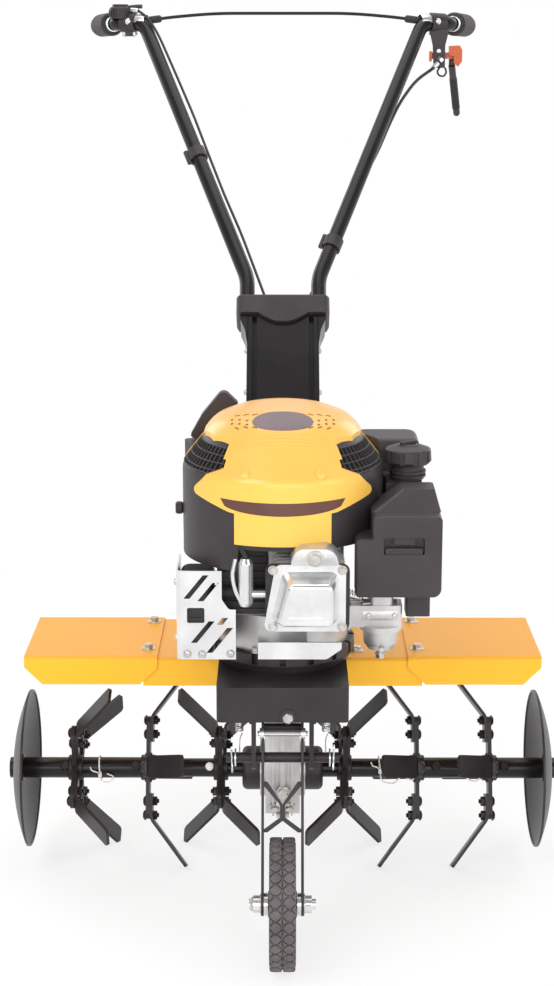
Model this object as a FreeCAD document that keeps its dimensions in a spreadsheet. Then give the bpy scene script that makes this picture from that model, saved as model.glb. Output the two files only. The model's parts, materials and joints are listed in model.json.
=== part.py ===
import FreeCAD, Part
import math
import os
import re

import Sketcher
from FreeCAD import Placement, Rotation, Vector

# A two-handled petrol garden tiller, in millimetres. The front looks along -Y, +Z is up.
# Inside each sub-part, Y is counted from the tine axle, which stands at tine_axle_y.

SIZES = {
    # tine rotor
    "tine_axle_y": -289.35,
    "tine_axle_z": 121.74,
    "tine_phase": 22.5,
    "shaft_radius": 12,
    "sleeve_radius": 13.4,
    "shaft_fit": 0.05,
    "hub_inner_x": 80,
    "hub_mid_x": 174,
    "hub_outer_x": 268,
    "hub_thickness": 5,
    "hub_boss_radius": 16.5,
    "hub_boss_length": 16,
    "hub_arm_reach": 66,
    "hub_arm_width": 26,
    "tine_radius": 127.5,
    "tine_width": 28,
    "tine_thickness": 4,
    "tine_root_radius": 33,
    "tine_bend_radius": 66,
    "tine_lean": 37,
    "tine_curve": 13,
    "tine_corner": 5,
    "disc_radius": 101,
    "disc_rim_x": 328,
    "disc_dish": 19,
    "disc_thickness": 2.5,
    "disc_hub_radius": 17,
    "disc_bush": 10,
    # front wheel and its bracket
    "wheel_y": -305,
    "wheel_radius": 76,
    "wheel_width": 31,
    "tyre_wall": 26,
    "wheel_axle_radius": 6,
    "wheel_hub_radius": 15,
    "bracket_gap": 43,
    "bracket_plate": 3,
    "bracket_width": 27,
    "bracket_top": 44,
    "brace_top": 28,
    "brace_neck": 55,
    "brace_foot": 86,
    "brace_bar": 4,
    "spacer_radius": 13,
    "spacer_gap": 0.4,
    "pivot_y": -240,
    "pivot_z": 230,
    "pivot_radius": 6,
    "pivot_half_length": 66,
    # frame
    "frame_half_width": 76,
    "frame_front": -260,
    "frame_rear": 172,
    "frame_bottom": 280,
    "frame_height": 42,
    "frame_wall": 3,
    "frame_fold": 6,
    "ear_x": 31,
    "ear_thickness": 5,
    # reduction gear case
    "gear_radius": 58,
    "gear_half_width": 22,
    "gear_seam": 6,
    "gear_rib": 3,
    "gear_boss_radius": 36,
    "gear_boss_x": 29,
    "neck_front": -30,
    "neck_rear": 62,
    "shield_radius": 28,
    "shield_width": 23,
    "shield_bore": 13,
    # engine
    "engine_y": -130,
    "flange_radius": 86,
    "flange_height": 24,
    "flange_slot": 7,
    "crankcase_radius": 78,
    "crankcase_height": 44,
    "core_radius": 66,
    "shroud_bottom": 480,
    "skirt_bottom": 453,
    "skirt_wall": 9,
    "vent_inner": 94,
    "vent_outer": 116,
    "vent_step": 6.4,
    "vent_count": 8,
    "waist_radius": 92,
    "shroud_radius": 121,
    "shoulder_z": 570,
    "dome_radius": 77,
    "dome_z": 614,
    "crown_radius": 48,
    "hood_top": 627,
    "hood_skin": 4,
    "hood_gap": 0.4,
    "apron_half_width": 55,
    "apron_bottom": 486,
    "wing_x": 106,
    "wing_z": 538,
    "head_x": 28,
    "head_width": 86,
    "head_height": 78,
    "head_z": 431,
    "head_front": -264,
    "cover_depth": 36,
    "cover_spread": 7,
    "cover_flange": 4,
    "fin_sheet": 2.5,
    "fin_depth": 6,
    "muffler_x": -100,
    "muffler_y": -186,
    "muffler_z": 348,
    "muffler_half_width": 20,
    "muffler_half_depth": 38,
    "muffler_height": 92,
    "guard_sheet": 2,
    "guard_height": 106,
    "guard_slot": 7,
    "plug_x": -42,
    "plug_y": -240,
    "plug_z": 414,
    "plug_radius": 8.5,
    "carb_x": 115,
    "carb_y": -186,
    "carb_bowl_z": 341,
    "carb_bowl_radius": 21,
    "filter_x": 131,
    "filter_parting_y": -228,
    "filter_z": 426,
    "filter_half_width": 49,
    "filter_low": 68,
    "filter_high": 94,
    "filter_lid_depth": 22,
    "filter_roof": 22,
    "filter_depth": 60,
    "latch_width": 46,
    "latch_height": 15,
    "tank_x": 118,
    "tank_y": -80,
    "tank_z": 452,
    "tank_low": 84,
    "tank_high": 124,
    "cap_x": 148,
    "cap_y": -120,
    "cap_radius": 28,
    "cap_height": 22,
    "cap_notches": 10,
    "neck_radius": 19,
    "neck_height": 18,
    # fenders
    "fender_top": 300,
    "fender_split_x": 155,
    "fender_end_x": 320,
    "fender_half_depth": 82,
    "fender_sheet": 2.5,
    "fender_lip": 36,
    "fender_lap": 18,
    "fender_corner": 22,
    # handle column
    "column_y": 138,
    "column_lean": 40,
    "column_length": 420,
    "column_width": 103,
    "column_depth": 46,
    "column_wall": 2,
    "column_lip": 12,
    "column_panel": 74,
    "flare_width": 122,
    "flare_length": 46,
    "groove_width": 7,
    "groove_depth": 8,
    "cap_width": 134,
    "cap_length": 31,
    "cap_depth": 58,
    "cap_droop": 15,
    # handles
    "handle_radius": 11,
    "handle_wall": 1.6,
    "handle_x": 52,
    "handle_socket": 75,
    "handle_bend": 80,
    "upper_bend_x": 222,
    "upper_bend_y": 790,
    "upper_bend_z": 1068,
    "grip_bend_x": 268,
    "grip_bend_y": 806,
    "grip_bend_z": 1065,
    "grip_end_x": 304,
    "grip_end_y": 951.73,
    "grip_end_z": 1063,
    "grip_radius": 17,
    "grip_length": 116,
    "grip_cap": 4,
    "grip_collar": 18,
    "drum_radius": 17.5,
    "drum_height": 22,
    "clamp_wall": 4,
    "clamp_length": 24,
    "clip_wall": 3,
    "clip_length": 18,
    "lever_radius": 5.5,
    "cross_rod_radius": 2.5,
    "throttle_cable_radius": 2,
    "clutch_cable_radius": 2.5,
    # hitch at the back
    "hitch_gap": 22,
    "hitch_plate": 5,
    "hitch_reach": 42,
    "hitch_pin_radius": 5.1,
}

doc = FreeCAD.newDocument("tiller")
sheet = doc.addObject("Spreadsheet::Sheet", "Sizes")
for row, (name, value) in enumerate(SIZES.items(), start=1):
    sheet.set(f"A{row}", name)
    sheet.set(f"B{row}", str(value))
    sheet.setAlias(f"B{row}", name)
doc.recompute()

SIDES = {"left": -1, "right": 1}
nodes = []


def size(name):
    """A value of the sheet, for shapes that part.py works out itself."""
    return float(sheet.get(name))


def first_radius(rounding):
    """Where a rounding starts from; its constraint then sets the true radius."""
    if isinstance(rounding, str):
        return SIZES.get(rounding, 5)
    return rounding


def linked(term):
    """The same expression with every size read from the sheet."""
    def link(match):
        word = match.group(0)
        return "Sizes." + word if word in SIZES else word
    return re.sub(r"[A-Za-z_][A-Za-z0-9_]*", link, str(term))


def keep(shape_object, label):
    """Names a finished sub-part and lists it for the export."""
    shape_object.Label = label
    nodes.append(shape_object)
    return shape_object


def new_body(label, x=0, y=0, z=0, about=None, angle=0):
    """A body whose origin is at x, y, z, turned about an axis by an angle."""
    body = doc.addObject("PartDesign::Body", label)
    if about is not None:
        body.Placement = Placement(Vector(), Rotation(Vector(*about), 1))
        body.setExpression("Placement.Rotation.Angle", linked(angle))
    body.setExpression("Placement.Base.x", linked(x))
    body.setExpression("Placement.Base.y", linked(f"tine_axle_y + {y}"))
    body.setExpression("Placement.Base.z", linked(z))
    return keep(body, label)


def new_sketch(body, plane, at=0):
    """A sketch on one of the body's own planes, moved along that plane's axis to at."""
    support = next(part for part in body.Origin.OriginFeatures if part.Role == plane + "_Plane")
    sketch = body.newObject("Sketcher::SketchObject", "outline")
    sketch.AttachmentSupport = [(support, "")]
    sketch.MapMode = "FlatFace"
    along = f"-({at})" if plane == "XZ" else at
    sketch.setExpression("AttachmentOffset.Base.z", linked(along))
    return sketch


def bind(sketch, constraint, term):
    index = sketch.addConstraint(constraint)
    sketch.setExpression(f"Constraints[{index}]", linked(term))


def place(sketch, geometry, point, x, y):
    """Holds one point of a sketch at x, y."""
    bind(sketch, Sketcher.Constraint("DistanceX", -1, 1, geometry, point, 1), x)
    bind(sketch, Sketcher.Constraint("DistanceY", -1, 1, geometry, point, 1), y)


def outline(sketch, corners):
    """A closed outline through corners (x, y), or (x, y, rounding) where one is rounded."""
    first = sketch.GeometryCount
    count = len(corners)
    turn = 2 * math.pi / count
    spots = [Vector(9 * math.cos(turn * i), 9 * math.sin(turn * i), 0) for i in range(count)]
    for i in range(count):
        sketch.addGeometry(Part.LineSegment(spots[i], spots[(i + 1) % count]))
    for i in range(count):
        sketch.addConstraint(Sketcher.Constraint("Coincident", first + i, 2, first + (i + 1) % count, 1))
    for i, corner in enumerate(corners):
        place(sketch, first + i, 1, corner[0], corner[1])
    sketch.recompute()
    for i, corner in enumerate(corners):
        if len(corner) == 3:
            arc = sketch.GeometryCount
            sketch.fillet(first + i, 1, first_radius(corner[2]), True, True)
            bind(sketch, Sketcher.Constraint("Radius", arc, first_radius(corner[2])), corner[2])
    return sketch


def rectangle(sketch, low_x, low_y, high_x, high_y, rounding=None):
    spots = [(low_x, low_y), (high_x, low_y), (high_x, high_y), (low_x, high_y)]
    if rounding is not None:
        spots = [spot + (rounding,) for spot in spots]
    return outline(sketch, spots)


def ring(sketch, x, y, radius):
    circle = sketch.addGeometry(Part.Circle(Vector(0, 0, 0), Vector(0, 0, 1), 5))
    place(sketch, circle, 3, x, y)
    bind(sketch, Sketcher.Constraint("Radius", circle, 5), radius)
    return sketch


def pad(body, sketch, length, side="out"):
    """side is out, along the plane's normal, back, against it, or both, half each way."""
    feature = body.newObject("PartDesign::Pad", "pad")
    feature.Profile = sketch
    feature.setExpression("Length", linked(length))
    feature.SideType = "Symmetric" if side == "both" else "One side"
    feature.Reversed = side == "back"
    sketch.Visibility = False
    body.Tip = feature
    return feature


def pocket(body, sketch, length, side="out"):
    """Cuts on the same side as pad would add."""
    feature = body.newObject("PartDesign::Pocket", "pocket")
    feature.Profile = sketch
    feature.setExpression("Length", linked(length))
    feature.SideType = "Symmetric" if side == "both" else "One side"
    feature.Reversed = side == "out"
    body.Tip = feature
    return feature


def revolve(body, sketch, axis):
    """axis is H_Axis or V_Axis, the sketch's own axes."""
    feature = body.newObject("PartDesign::Revolution", "revolve")
    feature.Profile = sketch
    feature.ReferenceAxis = (sketch, [axis])
    feature.Angle = 360
    body.Tip = feature
    return feature


def loft(body, sections):
    feature = body.newObject("PartDesign::AdditiveLoft", "loft")
    feature.Profile = sections[0]
    feature.Sections = sections[1:]
    feature.Ruled = True
    body.Tip = feature
    return feature


def hollow_loft(body, sections):
    """Cuts between sections, where loft would add."""
    feature = body.newObject("PartDesign::SubtractiveLoft", "hollow")
    feature.Profile = sections[0]
    feature.Sections = sections[1:]
    feature.Ruled = True
    body.Tip = feature
    return feature


def round_edges(body, radius, wanted):
    """Rounds the edges of the body's last feature for which wanted(centre, edge) is true."""
    doc.recompute()
    base = body.Tip
    names = [f"Edge{i}" for i, edge in enumerate(base.Shape.Edges, start=1) if wanted(edge.CenterOfMass, edge)]
    feature = body.newObject("PartDesign::Fillet", "rounding")
    feature.Base = (base, names)
    feature.setExpression("Radius", linked(radius))
    body.Tip = feature
    return feature


def mirror(body, features, plane):
    support = next(part for part in body.Origin.OriginFeatures if part.Role == plane + "_Plane")
    feature = body.newObject("PartDesign::Mirrored", "mirror")
    feature.Originals = features
    feature.MirrorPlane = (support, [""])
    body.Tip = feature
    return feature


def polar(body, features, axis, count):
    support = next(part for part in body.Origin.OriginFeatures if part.Role == axis + "_Axis")
    feature = body.newObject("PartDesign::PolarPattern", "polar")
    feature.Originals = features
    feature.Axis = (support, [""])
    feature.Angle = 360
    feature.Occurrences = count
    body.Tip = feature
    return feature


def keep_shape(label, shape):
    """A sub-part whose shape is worked out here, such as a bent tube."""
    feature = doc.addObject("Part::Feature", label)
    feature.Shape = shape
    feature.Placement = Placement(Vector(0, size("tine_axle_y"), 0), Rotation())
    return keep(feature, label)


def bent_path(points, largest):
    """Straight runs joined by tangent arcs, each as large as its two runs and the limit allow."""
    edges = []
    radii = []
    start = points[0]
    for before, corner, after in zip(points, points[1:], points[2:]):
        inward = (before - corner).normalize()
        outward = (after - corner).normalize()
        half_turn = (math.pi - inward.getAngle(outward)) / 2
        room = 0.45 * min((before - corner).Length, (after - corner).Length)
        radius = min(room / math.tan(half_turn), largest)
        setback = radius * math.tan(half_turn)
        centre_way = (inward + outward).normalize()
        middle = corner + centre_way * (radius / math.cos(half_turn) - radius)
        arc_start = corner + inward * setback
        arc_end = corner + outward * setback
        edges.append(Part.LineSegment(start, arc_start).toShape())
        edges.append(Part.Arc(arc_start, middle, arc_end).toShape())
        radii.append(round(radius, 1))
        start = arc_end
    edges.append(Part.LineSegment(start, points[-1]).toShape())
    return Part.Wire(edges), radii


def tube_along(points, radius, largest=1000):
    """A round bar along a bent path."""
    path, radii = bent_path(points, largest)
    way = (points[1] - points[0]).normalize()
    section = Part.Wire(Part.makeCircle(radius, points[0], way))
    return path.makePipeShell([section], True, True), radii


# ---- tine rotor ----

def make_rotor_shaft():
    """The gear's output shaft with a wider sleeve on each side that carries the outer tines."""
    body = new_body("rotor_shaft", z="tine_axle_z")
    sketch = new_sketch(body, "XZ")
    end = "disc_rim_x + disc_dish + 6"
    step = "hub_mid_x - hub_boss_length/2 - 4"
    outline(sketch, [
        (f"-({end})", 0),
        (end, 0),
        (end, "sleeve_radius"),
        (step, "sleeve_radius"),
        (step, "shaft_radius"),
        (f"-({step})", "shaft_radius"),
        (f"-({step})", "sleeve_radius"),
        (f"-({end})", "sleeve_radius"),
    ])
    revolve(body, sketch, "H_Axis")


def tine_outline(sketch, way):
    """A flat bar that leaves the hub straight and bends sideways to its tip."""
    seat = "hub_thickness/2"
    reach = "(tine_radius - tine_bend_radius)"
    tip_x = f"{seat} + {reach}*tan(tine_lean)"
    outline(sketch, [
        (f"{way}*({seat})", "tine_root_radius"),
        (f"{way}*({seat})", "tine_bend_radius", "tine_curve + tine_thickness"),
        (f"{way}*({tip_x})", "tine_radius"),
        (f"{way}*({tip_x} + tine_thickness*cos(tine_lean))", "tine_radius - tine_thickness*sin(tine_lean)"),
        (f"{way}*({seat} + tine_thickness)", "tine_bend_radius - tine_thickness*tan(tine_lean/2)", "tine_curve"),
        (f"{way}*({seat} + tine_thickness)", "tine_root_radius"),
    ])


def make_tine_set(label, x, phase, first_way, second_way, bore):
    """A hub plate with four arms, each with a bolted tine; the ways are the sides they bend to."""
    body = new_body(label, x=x, z="tine_axle_z", about=(1, 0, 0), angle=phase)
    boss = new_sketch(body, "YZ")
    ring(boss, 0, 0, "hub_boss_radius")
    ring(boss, 0, 0, f"{bore} + shaft_fit")
    pad(body, boss, "hub_boss_length", "both")
    arm = new_sketch(body, "YZ")
    outline(arm, [
        ("-hub_arm_width/2", "hub_arm_width/2 - 2"),
        ("hub_arm_width/2", "hub_arm_width/2 - 2"),
        ("hub_arm_width/2", "hub_arm_reach", 8),
        ("-hub_arm_width/2", "hub_arm_reach", 8),
    ])
    arm_pad = pad(body, arm, "hub_thickness", "both")
    polar(body, [arm_pad], "X", 4)
    clear = new_sketch(body, "YZ")
    ring(clear, 0, 0, f"{bore} + shaft_fit")
    pocket(body, clear, "hub_boss_length", "both")
    for plane, way in (("XZ", first_way), ("XY", second_way)):
        strip = new_sketch(body, plane)
        tine_outline(strip, way)
        tine = pad(body, strip, "tine_width", "both")
        polar(body, [tine], "X", 2)
    tip_depth = size("tine_radius") - 1.5 * size("tine_thickness")

    def at_tip(centre, edge):
        across = abs(edge.Length - size("tine_thickness")) < 0.01
        return across and math.hypot(centre.y, centre.z) > tip_depth
    round_edges(body, "tine_corner", at_tip)


def make_rotor():
    make_rotor_shaft()
    for side, way in SIDES.items():
        outer_phase = "tine_phase" if side == "left" else "tine_phase + 45"
        make_tine_set(f"tine_set_{side}_inner", f"{way}*hub_inner_x", "tine_phase", way, -way, "shaft_radius")
        make_tine_set(f"tine_set_{side}_mid", f"{way}*hub_mid_x", "tine_phase + 45", -way, -way, "sleeve_radius")
        make_tine_set(f"tine_set_{side}_outer", f"{way}*hub_outer_x", outer_phase, -way, -way, "sleeve_radius")
        make_disc(f"disc_{side}", way)


def make_disc(label, way):
    """A plant guard disc pressed to a shallow bowl, with a bush on the shaft's end."""
    body = new_body(label, z="tine_axle_z")
    profile = new_sketch(body, "XZ")
    rim = "disc_rim_x"
    crown = "disc_rim_x + disc_dish"
    bowl = [
        (crown, "sleeve_radius + shaft_fit"),
        (f"{crown} - disc_dish*0.07", "disc_hub_radius + 11"),
        (f"{rim} + disc_dish*0.74", "(disc_hub_radius + 11 + disc_radius)/2", 240),
        (rim, "disc_radius"),
    ]
    outside = [(f"{way}*({x})", *rest) for x, *rest in bowl]
    inside = [(f"{way}*({x} - disc_thickness)", *rest) for x, *rest in bowl]
    outline(profile, outside + inside[::-1])
    revolve(body, profile, "H_Axis")
    bush = new_sketch(body, "YZ", f"{way}*({crown} - disc_thickness/2)")
    ring(bush, 0, 0, "disc_hub_radius")
    ring(bush, 0, 0, "sleeve_radius + shaft_fit")
    pad(body, bush, "disc_bush", "back" if way > 0 else "out")


# ---- front wheel and its folding bracket ----

def make_front_tyre():
    body = new_body("front_tyre", y="wheel_y", z="wheel_radius")
    profile = new_sketch(body, "XZ")
    outline(profile, [
        ("-wheel_width*0.36", "wheel_radius - tyre_wall"),
        ("wheel_width*0.36", "wheel_radius - tyre_wall"),
        ("wheel_width/2", "wheel_radius - tyre_wall*0.55", 6),
        ("wheel_width/2", "wheel_radius", 5),
        ("-wheel_width/2", "wheel_radius", 5),
        ("-wheel_width/2", "wheel_radius - tyre_wall*0.55", 6),
    ])
    revolve(body, profile, "H_Axis")


def make_front_rim():
    """A moulded rim: a felloe, a web with round windows and a long hub."""
    body = new_body("front_rim", y="wheel_y", z="wheel_radius")
    felloe = new_sketch(body, "XZ")
    outline(felloe, [
        ("-wheel_width*0.36", "wheel_radius - tyre_wall"),
        ("wheel_width*0.36", "wheel_radius - tyre_wall"),
        ("wheel_width*0.36", "wheel_radius - tyre_wall - 5"),
        ("-wheel_width*0.36", "wheel_radius - tyre_wall - 5"),
    ])
    revolve(body, felloe, "H_Axis")
    web = new_sketch(body, "YZ")
    ring(web, 0, 0, "wheel_radius - tyre_wall - 4")
    ring(web, 0, 0, "wheel_hub_radius - 2")
    pad(body, web, 5, "both")
    hub = new_sketch(body, "YZ")
    ring(hub, 0, 0, "wheel_hub_radius")
    ring(hub, 0, 0, "wheel_axle_radius + shaft_fit")
    pad(body, hub, "wheel_width + 2", "both")
    window = new_sketch(body, "YZ")
    ring(window, 0, "(wheel_radius - tyre_wall - 5 + wheel_hub_radius)/2", 9)
    hole = pocket(body, window, 8, "both")
    polar(body, [hole], "X", 6)


ARM_LENGTH = "sqrt((pivot_y - wheel_y)^2 + (pivot_z - wheel_radius)^2)"
ARM_LEAN = "-atan((pivot_y - wheel_y)/(pivot_z - wheel_radius))"


def make_bracket_arms():
    """Two side plates joined by a bent cross brace and a top bar."""
    body = new_body("bracket_arms", y="pivot_y", z="pivot_z", about=(1, 0, 0), angle=ARM_LEAN)
    plate_face = "bracket_gap/2"
    for way in SIDES.values():
        plate = new_sketch(body, "YZ", f"{way}*{plate_face}")
        outline(plate, [
            ("-bracket_width/2", f"-{ARM_LENGTH} - bracket_width/2", 11),
            ("bracket_width/2", f"-{ARM_LENGTH} - bracket_width/2", 11),
            ("bracket_width/2", "bracket_top", 6),
            ("-bracket_width/2", "bracket_top", 6),
        ])
        ring(plate, 0, 0, "pivot_radius + shaft_fit")
        ring(plate, 0, f"-{ARM_LENGTH}", "wheel_axle_radius + shaft_fit")
        pad(body, plate, "bracket_plate", "out" if way > 0 else "back")
    brace = new_sketch(body, "XZ")
    right = [
        (0, "-brace_top - brace_neck/2 + brace_bar*0.4"),
        (f"{plate_face} - brace_bar", "-brace_top"),
        (plate_face, "-brace_top"),
        (plate_face, "-brace_top - brace_bar*1.3"),
        ("brace_bar*0.75", "-brace_neck"),
        ("brace_bar*0.75", "-brace_neck - 14"),
        (plate_face, "-brace_foot + brace_bar*0.9"),
        (plate_face, "-brace_foot"),
        (f"{plate_face} - brace_bar", "-brace_foot"),
        (0, "-brace_neck - 14 - brace_bar"),
    ]
    left = [(f"-({x})", z) for x, z in right[1:-1]]
    outline(brace, right + left[::-1])
    pad(body, brace, "bracket_width - 8", "both")
    top_bar = new_sketch(body, "YZ", f"-{plate_face}")
    ring(top_bar, 0, "bracket_top - 9", 4.5)
    pad(body, top_bar, "bracket_gap")


def make_wheel_axle():
    """The axle bolt with its nuts and two spacers that centre the wheel."""
    body = new_body("wheel_axle", y="wheel_y", z="wheel_radius")
    profile = new_sketch(body, "XZ")
    outer = "bracket_gap/2 + bracket_plate"
    hub_end = "wheel_width/2 + 1 + spacer_gap"
    corners = [(f"{outer} + 14", 0), (f"{outer} + 14", "wheel_axle_radius"), (f"{outer} + 9", "wheel_axle_radius"),
               (f"{outer} + 9", "wheel_axle_radius + 4"), (outer, "wheel_axle_radius + 4"),
               (outer, "wheel_axle_radius"), ("bracket_gap/2", "wheel_axle_radius"),
               ("bracket_gap/2", "spacer_radius"), (hub_end, "spacer_radius"), (hub_end, "wheel_axle_radius")]
    outline(profile, corners + [(f"-({x})", y) for x, y in reversed(corners)])
    revolve(body, profile, "H_Axis")


def make_wheel_group():
    make_front_tyre()
    make_front_rim()
    make_bracket_arms()
    make_wheel_axle()


# ---- frame and reduction gear ----

def make_frame_box():
    """A folded steel box, open below, with two ears for the wheel bracket's pivot rod."""
    body = new_body("frame_box")
    shell = new_sketch(body, "XY", "frame_bottom")
    rectangle(shell, "-frame_half_width", "frame_front", "frame_half_width", "frame_rear", "frame_fold")
    pad(body, shell, "frame_height")
    hollow = new_sketch(body, "XY", "frame_bottom")
    rectangle(hollow, "-frame_half_width + frame_wall", "frame_front + frame_wall",
              "frame_half_width - frame_wall", "frame_rear - frame_wall", "frame_fold - frame_wall")
    pocket(body, hollow, "frame_height - frame_wall")
    for way in SIDES.values():
        ear = new_sketch(body, "YZ", f"{way}*ear_x")
        outline(ear, [
            ("pivot_y - 14", "pivot_z - 13", 12),
            ("pivot_y + 14", "pivot_z - 13", 12),
            ("pivot_y + 14", "frame_bottom - 18"),
            ("pivot_y + 34", "frame_bottom"),
            ("pivot_y + 34", "frame_bottom + frame_height - frame_wall"),
            ("frame_front + frame_wall", "frame_bottom + frame_height - frame_wall"),
            ("frame_front + frame_wall", "frame_bottom"),
        ])
        ring(ear, "pivot_y", "pivot_z", "pivot_radius + shaft_fit")
        pad(body, ear, "ear_thickness", "out" if way > 0 else "back")


def make_pivot_rod():
    body = new_body("pivot_rod", y="pivot_y", z="pivot_z")
    rod = new_sketch(body, "YZ")
    ring(rod, 0, 0, "pivot_radius")
    pad(body, rod, "2*pivot_half_length", "both")


def make_frame_springs():
    """Two closed coil springs between the frame's edge and the pivot rod, as plain bars."""
    for side, way in SIDES.items():
        body = new_body(f"frame_spring_{side}", x=f"{way}*50", y="pivot_y", z="pivot_z")
        bar = new_sketch(body, "XY", "pivot_radius + 0.2")
        ring(bar, 0, 0, 5)
        pad(body, bar, "frame_bottom + frame_height - frame_wall - pivot_z - pivot_radius - 0.4")


def gear_outline(sketch, grown):
    """The case's side view: a round foot about the axle and a neck up to the frame's deck."""
    foot = f"gear_radius + {grown}"
    outline(sketch, [
        (f"neck_front - {grown}", "frame_bottom + frame_height - frame_wall"),
        (f"-({foot})*0.93", "tine_axle_z + gear_radius*0.6", 20),
        (f"-({foot})", f"tine_axle_z - ({foot})", f"({foot})*0.9"),
        (foot, f"tine_axle_z - ({foot})", f"({foot})*0.9"),
        (f"({foot})*1.02", "tine_axle_z + gear_radius*0.6", 20),
        (f"neck_rear + {grown}", "frame_bottom + frame_height - frame_wall"),
    ])


def make_gearbox_case():
    """A cast case in two halves round the tine axle, with a seam flange and ribs."""
    body = new_body("gearbox_case")
    ribs = (("0", "gear_seam", "6"), ("gear_half_width*0.55", "gear_rib", "gear_rib"),
            ("-gear_half_width*0.55", "gear_rib", "gear_rib"))
    core = new_sketch(body, "YZ")
    gear_outline(core, "0")
    pad(body, core, "2*gear_half_width", "both")
    for middle, thickness, grown in ribs:
        rib = new_sketch(body, "YZ", middle)
        gear_outline(rib, grown)
        pad(body, rib, thickness, "both")
    boss = new_sketch(body, "YZ")
    ring(boss, 0, "tine_axle_z", "gear_boss_radius")
    pad(body, boss, "2*gear_boss_x", "both")
    bore = new_sketch(body, "YZ")
    ring(bore, 0, "tine_axle_z", "shaft_radius + shaft_fit")
    pocket(body, bore, "4*gear_boss_x", "both")


def make_shaft_shields():
    """Round cups over the shaft seals, against the gear case's bosses."""
    for side, way in SIDES.items():
        body = new_body(f"shaft_shield_{side}", z="tine_axle_z")
        cup = new_sketch(body, "XZ")
        seat = f"{way}*gear_boss_x"
        end = f"{way}*(gear_boss_x + shield_width)"
        outline(cup, [
            (seat, "shield_bore"),
            (seat, "shield_radius"),
            (end, "shield_radius", 7),
            (end, "shield_bore"),
        ])
        revolve(body, cup, "H_Axis")


def make_frame_group():
    make_frame_box()
    make_pivot_rod()
    make_frame_springs()
    make_gearbox_case()
    make_shaft_shields()


# ---- engine ----

DECK = "frame_bottom + frame_height"


def make_engine_flange():
    """The cast ring that the engine stands on, with cooling slots round its rim."""
    body = new_body("engine_flange", y="engine_y")
    profile = new_sketch(body, "XZ")
    outline(profile, [
        (0, DECK),
        ("flange_radius - 6", DECK),
        ("flange_radius", f"{DECK} + flange_height*0.4", 4),
        ("flange_radius", f"{DECK} + flange_height", 2),
        (0, f"{DECK} + flange_height"),
    ])
    revolve(body, profile, "V_Axis")
    slot = new_sketch(body, "YZ", "flange_radius")
    rectangle(slot, "-flange_slot/2", f"{DECK} + flange_height*0.45", "flange_slot/2",
              f"{DECK} + flange_height + 1")
    notch = pocket(body, slot, "flange_slot", "back")
    polar(body, [notch], "Z", 16)


def make_engine_block():
    """Crankcase and core as one plain heavy mass."""
    body = new_body("engine_block", y="engine_y")
    case = new_sketch(body, "XY", f"{DECK} + flange_height")
    ring(case, 0, 0, "crankcase_radius")
    pad(body, case, "crankcase_height")
    core = new_sketch(body, "XY", f"{DECK} + flange_height + crankcase_height")
    rectangle(core, "-core_radius", "-core_radius", "head_x + head_width/2", "core_radius", 6)
    pad(body, core, f"shroud_bottom - 1 - ({DECK} + flange_height + crankcase_height)")
    drum = new_sketch(body, "XY", "shroud_bottom - 1")
    ring(drum, 0, 0, "core_radius")
    pad(body, drum, "shoulder_z - 30 - shroud_bottom")


def make_cylinder_head():
    """The head with cooling fins that stand square to the cylinder."""
    body = new_body("cylinder_head", x="head_x", z="head_z")
    depth = "engine_y - core_radius - head_front"
    block = new_sketch(body, "XZ", "head_front")
    rectangle(block, "-head_width/2 + fin_depth", "-head_height/2 + fin_depth",
              "head_width/2 - fin_depth", "head_height/2 - fin_depth", 8)
    pad(body, block, depth, "back")
    for share in (0, 0.2, 0.4, 0.6, 0.8):
        fin = new_sketch(body, "XZ", f"head_front + ({depth})*{share}")
        rectangle(fin, "-head_width/2", "-head_height/2", "head_width/2", "head_height/2", 10)
        pad(body, fin, "fin_sheet", "back")


def cover_outline(sketch, inset, rounding):
    """Square on its right, and wider at its foot on the left."""
    outline(sketch, [
        (f"-head_width/2 - cover_spread + {inset}", f"-head_height/2 + {inset}", rounding),
        (f"head_width/2 - {inset}", f"-head_height/2 + {inset}", rounding),
        (f"head_width/2 - {inset}", f"head_height/2 - {inset}", rounding),
        (f"-head_width/2 + cover_spread + {inset}", f"head_height/2 - {inset}", rounding),
    ])


def make_valve_cover():
    """A deep-drawn sheet cover: a flat flange and a raised pan with a sunk face."""
    body = new_body("valve_cover", x="head_x", z="head_z")
    flange = new_sketch(body, "XZ", "head_front")
    cover_outline(flange, 0, 8)
    pad(body, flange, "cover_flange")
    low = new_sketch(body, "XZ", "head_front - cover_flange")
    cover_outline(low, "8", 10)
    high = new_sketch(body, "XZ", "head_front - cover_depth")
    cover_outline(high, "15", 8)
    loft(body, [low, high])
    face = size("head_front") - size("cover_depth")
    round_edges(body, 5, lambda centre, edge: abs(centre.y - face) < 0.05)
    floor = new_sketch(body, "XZ", "head_front")
    cover_outline(floor, "10", 8)
    roof = new_sketch(body, "XZ", "head_front - cover_depth + 3")
    cover_outline(roof, "19", 6)
    hollow_loft(body, [floor, roof])
    panel = new_sketch(body, "XZ", "head_front - cover_depth")
    cover_outline(panel, "25", 4)
    pocket(body, panel, 1.5, "back")


def make_spark_plug():
    """A bright screening sleeve over the plug, which stands upright beside the head."""
    body = new_body("spark_plug", x="plug_x", y="plug_y", z="plug_z")
    boot = new_sketch(body, "XZ")
    outline(boot, [
        (0, 0),
        ("plug_radius - 2", 0),
        ("plug_radius", 4, 2),
        ("plug_radius", 50, 3),
        ("plug_radius - 3", 56),
        (0, 56),
    ])
    revolve(body, boot, "V_Axis")
    stem = new_sketch(body, "YZ", "plug_radius - 2")
    ring(stem, 0, 14, 5)
    pad(body, stem, "head_x - head_width/2 - plug_x - plug_radius + 1.9")


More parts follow.
